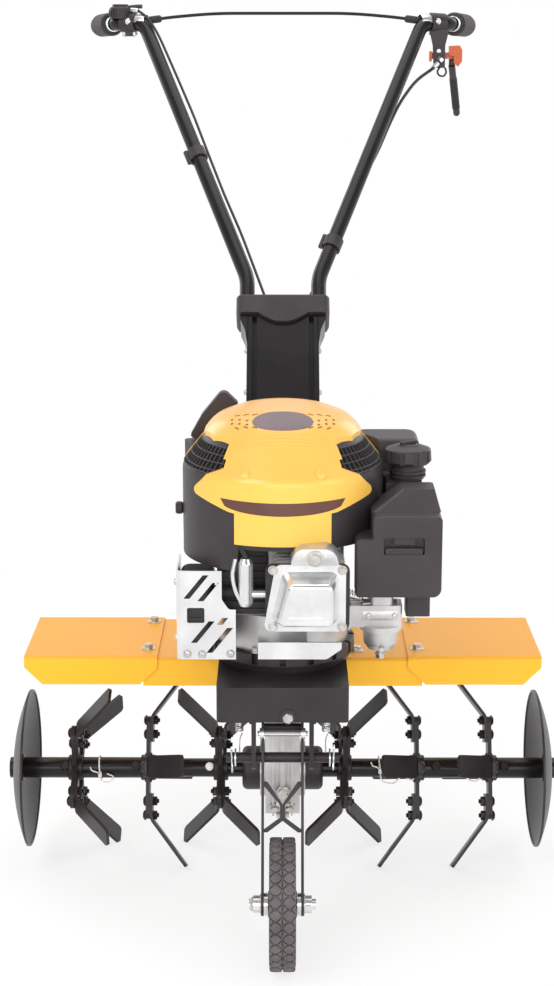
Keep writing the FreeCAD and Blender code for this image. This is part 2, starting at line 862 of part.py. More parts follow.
def make_muffler():
    body = new_body("muffler", x="muffler_x", y="muffler_y", z="muffler_z")
    case = new_sketch(body, "XY")
    rectangle(case, "-muffler_half_width", "-muffler_half_depth", "muffler_half_width", "muffler_half_depth", 12)
    pad(body, case, "muffler_height")
    height = size("muffler_height")
    round_edges(body, 8, lambda centre, edge: not 0.05 < centre.z < height - 0.05)
    pipe = new_sketch(body, "YZ", "muffler_half_width - 1")
    ring(pipe, -20, 72, 8)
    pad(body, pipe, "head_x - head_width/2 - muffler_x - muffler_half_width + 0.9")


def make_muffler_guard():
    """A bent sheet in front of the muffler and round its outer side, cut out for cooling."""
    body = new_body("muffler_guard", x="muffler_x", y="muffler_y", z="muffler_z - 3")
    outer = "muffler_half_width + guard_sheet + 0.5"
    front = "muffler_half_depth + guard_sheet + 0.5"
    sheet_line = new_sketch(body, "XY")
    outline(sheet_line, [
        ("muffler_half_width + 26", f"-({front})"),
        ("muffler_half_width + 26", "-muffler_half_depth - 0.5"),
        ("-muffler_half_width - 0.5", "-muffler_half_depth - 0.5", 4),
        ("-muffler_half_width - 0.5", "muffler_half_depth - 2"),
        (f"-({outer})", "muffler_half_depth - 2"),
        (f"-({outer})", f"-({front})", 6),
    ])
    pad(body, sheet_line, "guard_height")
    step = new_sketch(body, "XZ", "-muffler_half_depth")
    outline(step, [
        (30, "guard_height + 1"),
        (30, 72, 5),
        (38, 60, 5),
        ("muffler_half_width + 27", 60),
        ("muffler_half_width + 27", "guard_height + 1"),
    ])
    pocket(body, step, 6, "out")
    window = new_sketch(body, "XZ", "-muffler_half_depth")
    rectangle(window, -10, 44, 10, 62, 2)
    pocket(body, window, 6, "out")
    for foot_x, foot_z, run in ((-14, 73, 28), (2, 70, 22), (-6, 20, 26), (12, 8, 30), (24, 42, 8)):
        slot = new_sketch(body, "XZ", "-muffler_half_depth")
        outline(slot, [
            (foot_x, foot_z),
            (f"{foot_x} + guard_slot", foot_z),
            (f"{foot_x} + guard_slot + {run}*0.8", foot_z + run),
            (f"{foot_x} + {run}*0.8", foot_z + run),
        ])
        pocket(body, slot, 6, "out")
    for louvre_y in (-18, -4, 10):
        louvre = new_sketch(body, "YZ", "-muffler_half_width")
        rectangle(louvre, louvre_y, 20, f"{louvre_y} + guard_slot", "guard_height - 20", 3)
        pocket(body, louvre, 6, "back")


def make_heat_plate():
    body = new_body("heat_plate", y="head_front + 8")
    plate = new_sketch(body, "XZ")
    outline(plate, [(-28, 356), (50, 356, 8), (67, 368, 4), (67, 376), (-28, 376)])
    pad(body, plate, 3)
    shelf = new_sketch(body, "XY", 373)
    rectangle(shelf, -28, -1, 28, "engine_y - head_front - 8")
    pad(body, shelf, 3)
    seat = new_sketch(body, "XY", 373)
    ring(seat, 0, "engine_y - head_front - 8", "crankcase_radius + 0.3")
    pocket(body, seat, 3)


def make_carburettor():
    """A float bowl under a throttle body that reaches to the head."""
    body = new_body("carburettor", x="carb_x", y="carb_y", z="carb_bowl_z")
    bowl = new_sketch(body, "XZ")
    outline(bowl, [
        (0, 0),
        (5, 0),
        (5, 6),
        ("carb_bowl_radius - 6", 6),
        ("carb_bowl_radius - 1", 13, 5),
        ("carb_bowl_radius", 30),
        ("carb_bowl_radius + 4", 30),
        ("carb_bowl_radius + 4", 36),
        (0, 36),
    ])
    revolve(body, bowl, "V_Axis")
    throat = new_sketch(body, "XY", 35)
    rectangle(throat, "head_x + head_width/2 + 0.1 - carb_x", -15, 24, 15, 4)
    pad(body, throat, 26)
    flange = new_sketch(body, "YZ", "head_x + head_width/2 + 4 - carb_x")
    rectangle(flange, -20, 31, 20, 65, 6)
    pad(body, flange, 4)
    barrel = new_sketch(body, "YZ", -22)
    ring(barrel, 0, 49, 16)
    pad(body, barrel, 40)
    elbow = new_sketch(body, "XY", 60)
    rectangle(elbow, -14, -14, 14, 14, 6)
    pad(body, elbow, "filter_z - 0.1 - carb_bowl_z - 60")


def lid_outline(sketch, inset):
    """A box with a lower shoulder on the engine's side."""
    side = f"filter_half_width - {inset}"
    outline(sketch, [
        (f"-({side})", inset, 6),
        (side, inset, 10),
        (side, f"filter_high - {inset}", 5),
        ("-filter_half_width + 19", f"filter_high - {inset}", 5),
        ("-filter_half_width + 19", f"filter_low - {inset}", 2),
        (f"-({side})", f"filter_low - {inset}", 5),
    ])


def make_air_filter():
    """The filter box on the carburettor, and its lid, which hinges down along its foot."""
    base = new_body("air_filter_base", x="filter_x", y="filter_parting_y", z="filter_z")
    back = new_sketch(base, "XZ", 0.4)
    lid_outline(back, 0)
    pad(base, back, "filter_depth - 0.4", "back")
    eaves = new_sketch(base, "XY", "filter_high")
    rectangle(eaves, "-filter_half_width + 19", 0.4, "filter_half_width", "filter_depth", 5)
    ridge = new_sketch(base, "XY", "filter_high + filter_roof")
    rectangle(ridge, 6, 24, "filter_half_width - 6", "filter_depth", 4)
    loft(base, [eaves, ridge])
    lug = new_sketch(base, "XY")
    rectangle(lug, 12, 24, 40, 56, 3)
    pad(base, lug, 36, "back")
    room = new_sketch(base, "XY")
    ring(room, "-filter_x", "engine_y - filter_parting_y", "shroud_radius + hood_skin - 2.5")
    pocket(base, room, "filter_high + filter_roof + 1")
    lid = new_body("air_filter_cover", x="filter_x", y="filter_parting_y", z="filter_z")
    front = new_sketch(lid, "XZ")
    lid_outline(front, 0)
    pad(lid, front, "filter_lid_depth")
    depth = size("filter_lid_depth")
    round_edges(lid, 3, lambda centre, edge: abs(centre.y + depth) < 0.05)
    recess = new_sketch(lid, "XZ", "-filter_lid_depth")
    latch_low = "filter_low - latch_height - 2"
    rectangle(recess, "6 - latch_width/2", latch_low, "6 + latch_width/2", "filter_low + 2", 2)
    pocket(lid, recess, 7, "back")
    tab = new_sketch(lid, "XZ", "-filter_lid_depth + 7")
    rectangle(tab, "6 - latch_width/4", "filter_low - 6", "6 + latch_width/4", "filter_low + 3")
    pad(lid, tab, 5)
    bar = new_sketch(lid, "XZ", "-filter_lid_depth + 7")
    rectangle(bar, "8 - latch_width/2", latch_low, "4 + latch_width/2", f"{latch_low} + 7", 2)
    pad(lid, bar, 6)


def make_fuel_tank():
    """A moulded tank that wraps the shroud: high at the back, with the filler on a lower step."""
    body = new_body("fuel_tank", x="tank_x", y="tank_y", z="tank_z")
    low = new_sketch(body, "XY")
    rectangle(low, -30, -70, 46, 60, 16)
    pad(body, low, "tank_high")
    step = new_sketch(body, "YZ", 8)
    outline(step, [
        (-71, "tank_high + 1"),
        (-71, "tank_low"),
        (-18, "tank_low", 10),
        (-8, "tank_high + 1"),
    ])
    pocket(body, step, 120, "both")
    top = size("tank_high")
    round_edges(body, 8, lambda centre, edge: abs(centre.z - top) < 0.05)
    neck = new_sketch(body, "XY", "tank_low")
    ring(neck, "cap_x - tank_x", "cap_y - tank_y", "neck_radius")
    pad(body, neck, "neck_height")
    for height in (3, 8):
        thread = new_sketch(body, "XY", f"tank_low + {height}")
        ring(thread, "cap_x - tank_x", "cap_y - tank_y", "neck_radius + 2.5")
        pad(body, thread, 2.5)
    room = new_sketch(body, "XY")
    ring(room, "-tank_x", "engine_y - tank_y", "shroud_radius + hood_skin - 2.5")
    pocket(body, room, "tank_high + 1")


def make_fuel_cap():
    """A screw cap with grip notches round its rim."""
    body = new_body("fuel_cap", x="cap_x", y="cap_y", z="tank_z + tank_low + neck_height")
    profile = new_sketch(body, "XZ")
    outline(profile, [
        (0, 0),
        ("cap_radius - 4", 0),
        ("cap_radius", 4, 2),
        ("cap_radius - 1", "cap_height - 4", 3),
        ("cap_radius*0.55", "cap_height", 3),
        (0, "cap_height - 1"),
    ])
    revolve(body, profile, "V_Axis")
    notch = new_sketch(body, "XY")
    rectangle(notch, "cap_radius - 2", -3, "cap_radius + 4", 3, 1)
    groove = pocket(body, notch, "cap_height - 5")
    polar(body, [groove], "Z", int(size("cap_notches")))


def dome(sketch, raised):
    """The fan cover's half profile from its crown to its lower edge, raised for the hood."""
    return [
        (0, f"hood_top - hood_skin + {raised}"),
        ("crown_radius", f"hood_top - hood_skin - 1 + {raised}", 60),
        (f"dome_radius + {raised}*0.7", f"dome_z - hood_skin*0.7 + {raised}*0.7", 40),
        (f"shroud_radius - 3 + {raised}", f"shoulder_z - 12 + {raised}*0.2", 16),
    ]


def make_blower_housing():
    """The moulded fan cover: a dome with a vent grille on each side and a skirt over the exhaust."""
    body = new_body("blower_housing", y="engine_y")
    profile = new_sketch(body, "XZ")
    outline(profile, [(0, "shoulder_z - 22")] + dome(profile, "0") + [
        ("shroud_radius - 3", "shroud_bottom"),
        ("core_radius + 1", "shroud_bottom"),
        ("core_radius + 1", "shoulder_z - 22"),
    ])
    revolve(body, profile, "V_Axis")
    skirt = new_sketch(body, "XY", "skirt_bottom")
    ring(skirt, 0, 0, "shroud_radius - 3")
    ring(skirt, 0, 0, "shroud_radius - 3 - skirt_wall")
    band = pad(body, skirt, "shroud_bottom - skirt_bottom")
    clear = new_sketch(body, "XY", "skirt_bottom")
    outline(clear, [
        ("-shroud_radius*0.42", "-shroud_radius - 9"),
        ("shroud_radius + 9", "-shroud_radius - 9"),
        ("shroud_radius + 9", "shroud_radius + 9"),
        ("-shroud_radius - 9", "shroud_radius + 9"),
        ("-shroud_radius - 9", "-shroud_radius*0.1"),
        ("-shroud_radius*0.42", "-shroud_radius*0.1"),
    ])
    pocket(body, clear, "shroud_bottom - skirt_bottom")
    guide = new_sketch(body, "XY", "shoulder_z - 40")
    outline(guide, [(-70, 60), (-60, 80), (-96, 106, 8), (-122, 92, 8), (-110, 62)])
    pad(body, guide, 36)
    for way in SIDES.values():
        for i in range(int(size("vent_count"))):
            for low, high in ((0, 0.46), (0.54, 1)):
                make_vent_slot(body, way, i, low, high)


def make_vent_slot(body, way, number, low, high):
    """One slot of a grille: a narrow cut along a ray from the fan's centre."""
    slot = new_sketch(body, "XY", "shoulder_z - 24")
    angle = f"(5 + vent_step*{number})"
    span = "(vent_outer - vent_inner)"
    corners = []
    for share, edge in ((low, -1), (high, -1), (high, 1), (low, 1)):
        ray = f"(vent_inner + {span}*{share})"
        corners.append((f"{way}*({ray}*cos({angle}) - {edge}*2*sin({angle}))",
                        f"-({ray}*sin({angle}) + {edge}*2*cos({angle}))"))
    outline(slot, corners)
    pocket(body, slot, "62")


def make_engine_hood():
    """The painted hood: a domed skin with wings, waisted at the vents, and an apron in front."""
    body = new_body("engine_hood", y="engine_y")
    profile = new_sketch(body, "XZ")
    outer = "hood_skin"
    skin = dome(profile, outer)
    lining = dome(profile, "hood_gap")
    rim = [(f"shroud_radius - 3 + {outer}", "apron_bottom"), ("shroud_radius - 3 + hood_gap", "apron_bottom")]
    outline(profile, skin + rim + lining[::-1])
    revolve(body, profile, "V_Axis")
    below = new_sketch(body, "XZ")
    far = "shroud_radius + 20"
    low = "apron_bottom - 5"
    outline(below, [
        ("apron_half_width", low),
        ("apron_half_width", "apron_bottom + 36"),
        ("apron_half_width + 7", "apron_bottom + 37"),
        ("wing_x", "wing_z", 6),
        ("wing_x - 19", "wing_z + 23"),
        ("wing_x - 39", "wing_z + 32"),
        ("wing_x - 42", "wing_z + 41"),
        (far, "wing_z + 41"),
        (far, low),
    ])
    pocket(body, below, far, "out")
    other = new_sketch(body, "XZ")
    outline(other, [
        ("-apron_half_width", low),
        (f"-({far})", low),
        (f"-({far})", "wing_z + 41"),
        ("-wing_x + 42", "wing_z + 41"),
        ("-wing_x + 39", "wing_z + 32"),
        ("-wing_x + 19", "wing_z + 23"),
        ("-wing_x", "wing_z", 6),
        ("-apron_half_width - 7", "apron_bottom + 37"),
        ("-apron_half_width", "apron_bottom + 36"),
    ])
    pocket(body, other, far, "out")
    behind = new_sketch(body, "XZ")
    rectangle(behind, f"-({far})", low, far, "wing_z")
    pocket(body, behind, far, "back")
    for way in SIDES.values():
        waist = new_sketch(body, "XY", "wing_z + 39")
        arc = [(f"{way}*waist_radius*sin({angle})", f"-waist_radius*cos({angle})") for angle in (100, 80, 60, 40)]
        outline(waist, [
            *arc,
            (f"{way}*({far})*0.62", f"-({far})*0.78"),
            (f"{way}*({far})", f"-({far})*0.78"),
            (f"{way}*({far})", 34),
            (f"{way}*(waist_radius + 2)", 34),
        ])
        pocket(body, waist, "hood_top - wing_z")
        flank = new_sketch(body, "XY", low)
        outline(flank, [
            (f"{way}*(waist_radius - 6)", -4),
            (f"{way}*({far})", -4),
            (f"{way}*({far})", 34),
            (f"{way}*(waist_radius - 6)", 34),
        ])
        pocket(body, flank, "wing_z + 45 - apron_bottom")
    for_guide = new_sketch(body, "XY", low)
    rectangle(for_guide, -130, 55, -55, 112, 8)
    pocket(body, for_guide, "shoulder_z + 2 - apron_bottom")


def make_recoil_handle():
    """The starter's pull handle: a flat grip with a hooked end, leaning over its guide."""
    body = new_body("recoil_handle", x=-108, y=-42, z="shoulder_z - 1.2", about=(0, 1, 0), angle=35)
    bar = new_sketch(body, "XZ", -8)
    outline(bar, [(-6, 0, 3), (6, 0, 3), (8, 50, 10), (22, 56, 4), (20, 66, 5), (-6, 70, 8), (-9, 30, 20)])
    pad(body, bar, 16, "back")


def make_engine_group():
    make_engine_flange()
    make_engine_block()
    make_cylinder_head()
    make_valve_cover()
    make_spark_plug()
    make_muffler()
    make_muffler_guard()
    make_heat_plate()
    make_carburettor()
    make_air_filter()
    make_fuel_tank()
    make_fuel_cap()
    make_blower_housing()
    make_engine_hood()
    make_recoil_handle()


# ---- fenders ----

def fender_section(sketch, inset):
    """A flat sheet with a lip folded down along its front edge; the inner sheet lies inset under."""
    top = f"fender_top - {inset}"
    front = f"-fender_half_depth + {inset}"
    outline(sketch, [
        (front, f"{top} - fender_lip"),
        (f"{front} + fender_sheet", f"{top} - fender_lip"),
        (f"{front} + fender_sheet", f"{top} - fender_sheet", 3.5),
        ("fender_half_depth", f"{top} - fender_sheet"),
        ("fender_half_depth", top),
        (front, top, 6),
    ])


def round_lip(body, x, way):
    """Cuts a fender's lower front corner round at x, which faces way."""
    for_corner = new_sketch(body, "XZ", "-fender_half_depth + fender_sheet*2")
    lip = "fender_top - fender_lip"
    outline(for_corner, [
        (f"{x} + {way}*2", f"{lip} - 6"),
        (f"{x} - {way}*2.5*fender_corner", f"{lip} - 6"),
        (f"{x} - {way}*fender_corner", lip),
        (x, f"{lip} + fender_corner"),
        (f"{x} + {way}*2", f"{lip} + 2*fender_corner"),
    ])
    pocket(body, for_corner, "fender_sheet*6")


def make_fenders():
    for side, way in SIDES.items():
        out = "out" if way > 0 else "back"
        inner = new_body(f"fender_{side}_inner")
        sheet_line = new_sketch(inner, "YZ", f"{way}*frame_half_width")
        fender_section(sheet_line, "fender_sheet")
        pad(inner, sheet_line, "fender_split_x + fender_lap - frame_half_width", out)
        outer = new_body(f"fender_{side}_outer")
        sheet_line = new_sketch(outer, "YZ", f"{way}*fender_split_x")
        fender_section(sheet_line, 0)
        pad(outer, sheet_line, "fender_end_x - fender_split_x", out)
        round_lip(outer, f"{way}*fender_end_x", way)
        round_lip(outer, f"{way}*fender_split_x", -way)


# ---- handle column and handles ----

def column_section(sketch):
    """A folded channel, open at the back, with a groove each side of its front panel."""
    side = "column_width/2"
    front = "-column_depth/2"
    outer_groove = "column_panel/2 + groove_width"
    inner_groove = "column_panel/2"
    wall = "column_wall"
    outside = [
        (inner_groove, front),
        (inner_groove, f"{front} + groove_depth"),
        (outer_groove, f"{front} + groove_depth"),
        (outer_groove, front),
        (side, front, 3),
        (side, "column_depth/2", 3),
        (f"{side} - column_lip", "column_depth/2"),
    ]
    inside = [
        (f"{side} - column_lip", f"column_depth/2 - {wall}"),
        (f"{side} - {wall}", f"column_depth/2 - {wall}"),
        (f"{side} - {wall}", f"{front} + {wall}"),
        (f"{outer_groove} + {wall}", f"{front} + {wall}"),
        (f"{outer_groove} + {wall}", f"{front} + groove_depth + {wall}"),
        (f"{inner_groove} - {wall}", f"{front} + groove_depth + {wall}"),
        (f"{inner_groove} - {wall}", f"{front} + {wall}"),
    ]
    right = outside + inside
    left = [(f"-({corner[0]})",) + corner[1:] for corner in right]
    outline(sketch, right + left[::-1])


def make_column():
    """The folded column that carries both handles, standing on the frame's deck."""
    body = new_body("column_shell", y="column_y", z=DECK, about=(1, 0, 0), angle="-column_lean")
    section = new_sketch(body, "XY", "-column_depth/2*tan(column_lean)")
    column_section(section)
    pad(body, section, "column_length + column_depth/2*tan(column_lean)")
    foot = new_sketch(body, "YZ")
    drop = "column_depth/2*tan(column_lean)"
    outline(foot, [
        ("-column_depth/2 - 10", f"-2*({drop})"),
        ("column_depth/2 + 10", f"-2*({drop})"),
        ("column_depth/2 + 10", "(column_depth/2 + 10)*tan(column_lean)"),
        ("-column_depth/2 - 10", "-(column_depth/2 + 10)*tan(column_lean)"),
    ])
    pocket(body, foot, "2*column_width", "both")
    for way in SIDES.values():
        flare = new_sketch(body, "XZ", "-column_depth/2")
        outline(flare, [
            (f"{way}*(column_width/2 - 1)", "column_length - flare_length"),
            (f"{way}*(column_width/2)", "column_length - flare_length"),
            (f"{way}*(column_width/2 + 3)", "column_length - flare_length*0.55", 30),
            (f"{way}*flare_width/2", "column_length - flare_length*0.2", 12),
            (f"{way}*flare_width/2", "column_length"),
            (f"{way}*(column_width/2 - 1)", "column_length"),
        ])
        pad(body, flare, "column_depth", "back")
    cap = new_body("column_cap", y="column_y", z=DECK, about=(1, 0, 0), angle="-column_lean")
    top = new_sketch(cap, "XY", "column_length")
    rectangle(top, "-cap_width/2", "-cap_depth/2", "cap_width/2", "cap_depth/2", 10)
    pad(cap, top, "cap_length")
    crown = size("column_length") + size("cap_length")
    round_edges(cap, 4, lambda centre, edge: abs(centre.z - crown) < 0.05)
    for way in SIDES.values():
        waist = new_sketch(cap, "XZ", "-cap_depth/2")
        outline(waist, [
            (f"{way}*(cap_width/2 - 5)", "column_length - 1"),
            (f"{way}*(cap_width/2 + 1)", "column_length - 1"),
            (f"{way}*(cap_width/2 + 1)", "column_length + 6"),
        ])
        pocket(cap, waist, "cap_depth + 1", "back")
    droop = new_sketch(cap, "XZ", "-column_depth/2 - 0.2")
    outline(droop, [
        ("-column_panel/2 - 1", "column_length + 1"),
        ("-column_panel*0.36", "column_length - cap_droop*0.45", 30),
        ("-column_panel*0.16", "column_length - cap_droop", 30),
        ("column_panel*0.16", "column_length - cap_droop", 30),
        ("column_panel*0.36", "column_length - cap_droop*0.45", 30),
        ("column_panel/2 + 1", "column_length + 1"),
    ])
    pad(cap, droop, "(cap_depth - column_depth)/2 - 0.2")
    sockets = new_sketch(cap, "XY", "column_length")
    for way in SIDES.values():
        ring(sockets, f"{way}*handle_x", 0, "handle_radius + shaft_fit")
    pocket(cap, sockets, "cap_length")


def column_spot(x, along):
    """A point on the column's centre line, along it from the deck."""
    lean = math.radians(size("column_lean"))
    deck = size("frame_bottom") + size("frame_height")
    return Vector(x, size("column_y") + along * math.sin(lean), deck + along * math.cos(lean))


def handle_corners(way):
    """Where the handle's runs meet: foot, knee, upper bend, grip bend and tip."""
    foot = column_spot(way * size("handle_x"), size("column_length"))
    knee = column_spot(way * size("handle_x"), size("column_length") + size("handle_socket"))
    upper = Vector(way * size("upper_bend_x"), size("upper_bend_y"), size("upper_bend_z"))
    lower = Vector(way * size("grip_bend_x"), size("grip_bend_y"), size("grip_bend_z"))
    tip = Vector(way * size("grip_end_x"), size("grip_end_y"), size("grip_end_z"))
    return foot, knee, upper, lower, tip


def run_spot(start, end, share):
    """A point part of the way along a run, and the run's direction."""
    return start + (end - start) * share, (end - start).normalize()


def make_handles():
    """Bent tubes from the column's cap out to the grips; returns solid bars of their outside by side."""
    bars = {}
    for side, way in SIDES.items():
        corners = handle_corners(way)
        bars[side], radii = tube_along(corners, size("handle_radius"), size("handle_bend"))
        bore, _ = tube_along(corners, size("handle_radius") - size("handle_wall"), size("handle_bend"))
        print("handle", side, "bend radii", radii)
        keep_shape(f"handle_{side}", bars[side].cut(bore))
        make_grip(side, corners, bars[side])
    return bars


def make_grip(side, corners, bar):
    """A sleeve closed at its end, with a raised collar where the hand stops."""
    tip = corners[-1]
    way_back = (tip - corners[-2]).normalize()
    start = tip - way_back * (size("grip_length") - size("grip_cap"))
    sleeve = Part.makeCylinder(size("grip_radius"), size("grip_length"), start, way_back)
    collar = Part.makeCylinder(size("grip_collar"), 5, start - way_back * 5, way_back)
    neck = Part.makeCylinder(size("grip_radius") - 2, 4, start - way_back * 9, way_back)
    keep_shape(f"grip_{side}", sleeve.fuse([collar, neck]).cut(bar).removeSplitter())


def round_bar(start, end, radius):
    way = end - start
    return Part.makeCylinder(radius, way.Length, start, way)


def clamp_on(spot, way, bar):
    """A split clamp round a handle tube, with a bolt lug below; bar is the tube's outside."""
    length = size("clamp_length")
    radius = size("handle_radius") + size("clamp_wall")
    ring_part = Part.makeCylinder(radius, length, spot - way * length / 2, way)
    lug = Part.makeBox(12, length * 0.6, 9, spot + Vector(-6, -length * 0.3, -radius - 6))
    return ring_part.fuse(lug).removeSplitter()


def make_throttle_control(bar):
    """A round lever housing on a clamp at the left handle, with its short lever."""
    corners = handle_corners(SIDES["left"])
    spot, way = run_spot(corners[2], corners[3], 0.5)
    clamp = clamp_on(spot, way, bar)
    seat = spot + Vector(-14, 4, 6.5)
    radius = size("drum_radius")
    drum = Part.makeCylinder(radius, size("drum_height") - 6, seat)
    shoulder = Part.makeCone(radius, radius - 5, 3, seat + Vector(0, 0, size("drum_height") - 6))
    dial = Part.makeCylinder(radius - 5, 3, seat + Vector(0, 0, size("drum_height") - 3))
    lever = Part.makeBox(26, 7, 5, seat + Vector(0, -3.5, size("drum_height") - 7))
    keep_shape("throttle_control", clamp.fuse([drum, shoulder, dial, lever]).cut(bar).removeSplitter())


def flat_plate(spot, thickness, corners):
    """A plate standing across the machine, its corners counted from a point on its front face."""
    wire = Part.makePolygon([spot + Vector(x, 0, z) for x, z in corners + corners[:1]])
    return Part.Face(wire).extrude(Vector(0, thickness, 0))


def make_clutch_control(bar):
    """The clutch bracket under the right handle, its lever and its safety catch."""
    corners = handle_corners(SIDES["right"])
    spot, way = run_spot(corners[2], corners[3], 0.5)
    clamp = clamp_on(spot, way, bar)
    front = spot + Vector(0, -9, 0)
    web = flat_plate(front, 4, [(-13, -10), (19, -10), (13, -35), (13, -70), (-5, -70), (-7, -35)])
    boss = Part.makeCylinder(7, 6, front + Vector(3, -1, -44), Vector(0, 1, 0))
    hole = Part.makeCylinder(3.5, 10, front + Vector(3, -3, -44), Vector(0, 1, 0))
    keep_shape("clutch_bracket", clamp.fuse([web, boss]).cut(hole).cut(bar).removeSplitter())
    hook = flat_plate(front + Vector(0, -2, 0), 10, [
        (19, -36), (36, -35), (40, -42), (40, -60), (34, -68), (27, -62), (27, -52), (19, -50),
    ])
    thumb = flat_plate(front + Vector(0, -2, 0), 10, [(-12, -44), (-8, -44), (-8, -60), (-12, -60)])
    bridge = flat_plate(front + Vector(0, 5.2, 0), 4, [(-12, -46), (30, -46), (30, -56), (-12, -56)])
    catch = hook.fuse([thumb, bridge]).removeSplitter()
    keep_shape("clutch_catch", catch)
    root = spot + Vector(25, 4, -66)
    lever_end = spot + Vector(38.6, 52, -142.5)
    lever = round_bar(root, lever_end, size("lever_radius"))
    tip = Part.makeSphere(size("lever_radius"), lever_end)
    neck = Part.makeCylinder(5, 12, root + Vector(0, 0, 0), Vector(0, 0, 1))
    keep_shape("clutch_lever", lever.fuse([neck, tip]).cut(catch).removeSplitter())


def make_cross_rod(bars):
    """A thin stay arched between the elbows of the two handles, in a short sleeve at each."""
    left = handle_corners(SIDES["left"])[2] + Vector(4, 0, 1.5)
    right = handle_corners(SIDES["right"])[2] + Vector(-4, 0, 1.5)
    arch = [(0, 0), (40, 5.5), (110, 11.5)]
    points = [left + Vector(inward, 0, rise) for inward, rise in arch]
    points += [right + Vector(-inward, 0, rise) for inward, rise in reversed(arch)]
    rod, radii = tube_along(points, size("cross_rod_radius"))
    print("cross rod radii", radii)
    sleeves = [round_bar(a, a + (b - a) * 0.5, 5.5) for a, b in (points[:2], points[:-3:-1])]
    keep_shape("cross_rod", rod.fuse(sleeves).cut(bars["left"]).cut(bars["right"]).removeSplitter())


def make_cables():
    """The throttle cable along the left handle and the clutch cable along the right one."""
    throttle = [Vector(*spot) for spot in (
        (-241.3, 796, 1086), (-229, 788, 1085), (-215.4, 776.5, 1075.5), (-201.3, 766, 1056.4),
        (-190.4, 754, 1035.8), (-163.4, 710.3, 980.4), (-137, 660.4, 925.6), (-114.5, 613.3, 873.9),
        (-88.3, 559.7, 814.9), (-61.4, 510, 760.3), (-41.7, 469, 713.9), (-22, 427.9, 667.5),
    )]
    clutch = [Vector(*spot) for spot in (
        (248, 786.2, 1005.5), (238, 781, 995.5), (209, 745, 978), (182, 702, 946),
        (162.6, 665.6, 911.2), (144.6, 631.8, 873.3), (111.5, 584.9, 818.8), (81.6, 534.5, 764.3),
        (65.9, 500.6, 726.5), (52, 474, 694), (38, 453, 673), (30, 438.6, 658.5),
    )]
    cables = {}
    for label, points in (("throttle_cable", throttle), ("clutch_cable", clutch)):
        cables[label], radii = tube_along(points, size(label + "_radius"))
        length = cables[label].Volume / math.pi / size(label + "_radius") ** 2
        print(label, "length", round(length), "radii", radii)
        keep_shape(label, cables[label])
    return cables


def make_cable_clips(bars, cables):
    """Snap clips round the handle tubes, each with a lug beside the tube."""
    for side, share, outward, cable in (
        ("left", 0.46, 1, "throttle_cable"),
        ("right", 0.125, -1, "clutch_cable"),
    ):
        corners = handle_corners(SIDES[side])
        spot, way = run_spot(corners[1], corners[2], share)
        length = size("clip_length")
        radius = size("handle_radius") + size("clip_wall")
        band = Part.makeCylinder(radius, length, spot - way * length / 2, way)
        beside = Vector(SIDES[side] * outward, 0, 0)
        beside = (beside - way * beside.dot(way)).normalize()
        lug = Part.makeCylinder(4, length + 4, spot + beside * (radius + 1) - way * (length / 2 + 2), way)
        clip = band.fuse(lug).cut(bars[side]).cut(cables[cable])
        keep_shape(f"cable_clip_{side}", clip.removeSplitter())


def make_rear_hitch():
    """Two ears behind the frame for the pin of a depth bar."""
    body = new_body("rear_hitch", y="frame_rear", z=DECK)
    plate = new_sketch(body, "XZ")
    rectangle(plate, "-hitch_gap/2 - hitch_plate", "-frame_height", "hitch_gap/2 + hitch_plate", 0)
    pad(body, plate, "hitch_plate", "back")
    for way in SIDES.values():
        ear = new_sketch(body, "YZ", f"{way}*hitch_gap/2")
        outline(ear, [
            (0, "-frame_height"), ("hitch_reach", "-frame_height*0.8", 8),
            ("hitch_reach", "-frame_height*0.2", 8), (0, 0),
        ])
        ring(ear, "hitch_reach*0.68", "-frame_height/2", "hitch_pin_radius")
        pad(body, ear, "hitch_plate", "out" if way > 0 else "back")


def make_controls(bars):
    make_throttle_control(bars["left"])
    make_clutch_control(bars["right"])
    make_cross_rod(bars)
    make_cable_clips(bars, make_cables())


def make_all():
    make_rotor()
    make_wheel_group()
    make_frame_group()
    make_engine_group()
    make_fenders()
    make_column()
    bars = make_handles()
    make_controls(bars)
    make_rear_hitch()


def export_all():
    doc.recompute()
    for item in doc.Objects:
        if "Invalid" in item.State or "Error" in item.State:
            raise RuntimeError(f"{item.Label} in {item.Name} failed: {item.State}")
    os.makedirs("parts", exist_ok=True)
    for node in nodes:
        shape = node.Shape
        if shape.isNull() or not shape.isValid() or not shape.Solids:
            raise RuntimeError(f"{node.Label} has no sound solid")
        shape.exportStep(f"parts/{node.Label}.step")
        print(node.Label, len(shape.Solids), round(shape.Volume / 1000, 1), "cm3")


make_all()
export_all()
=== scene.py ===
"""Looks of a petrol garden tiller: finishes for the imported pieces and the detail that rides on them."""
import json
import math

import bmesh
import bpy
from mathutils import Matrix, Vector


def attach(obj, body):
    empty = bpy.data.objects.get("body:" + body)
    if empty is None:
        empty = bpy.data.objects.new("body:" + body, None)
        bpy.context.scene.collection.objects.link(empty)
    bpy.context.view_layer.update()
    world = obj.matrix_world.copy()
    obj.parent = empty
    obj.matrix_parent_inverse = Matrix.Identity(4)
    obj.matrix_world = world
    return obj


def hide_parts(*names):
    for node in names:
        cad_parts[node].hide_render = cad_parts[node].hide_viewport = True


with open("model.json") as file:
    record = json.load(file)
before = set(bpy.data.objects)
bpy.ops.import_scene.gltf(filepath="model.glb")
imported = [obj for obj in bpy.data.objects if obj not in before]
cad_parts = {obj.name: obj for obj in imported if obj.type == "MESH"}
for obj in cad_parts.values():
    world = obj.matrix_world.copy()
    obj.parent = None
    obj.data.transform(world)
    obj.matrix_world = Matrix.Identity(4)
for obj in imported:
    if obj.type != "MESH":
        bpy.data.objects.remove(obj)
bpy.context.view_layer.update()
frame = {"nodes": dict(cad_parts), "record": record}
nodes = frame["nodes"]
joints = {joint["name"]: joint for joint in frame["record"]["behaviour"]["joints"]}
MM = 0.001
CREASE = 35
FILM_LIFT = 0.15
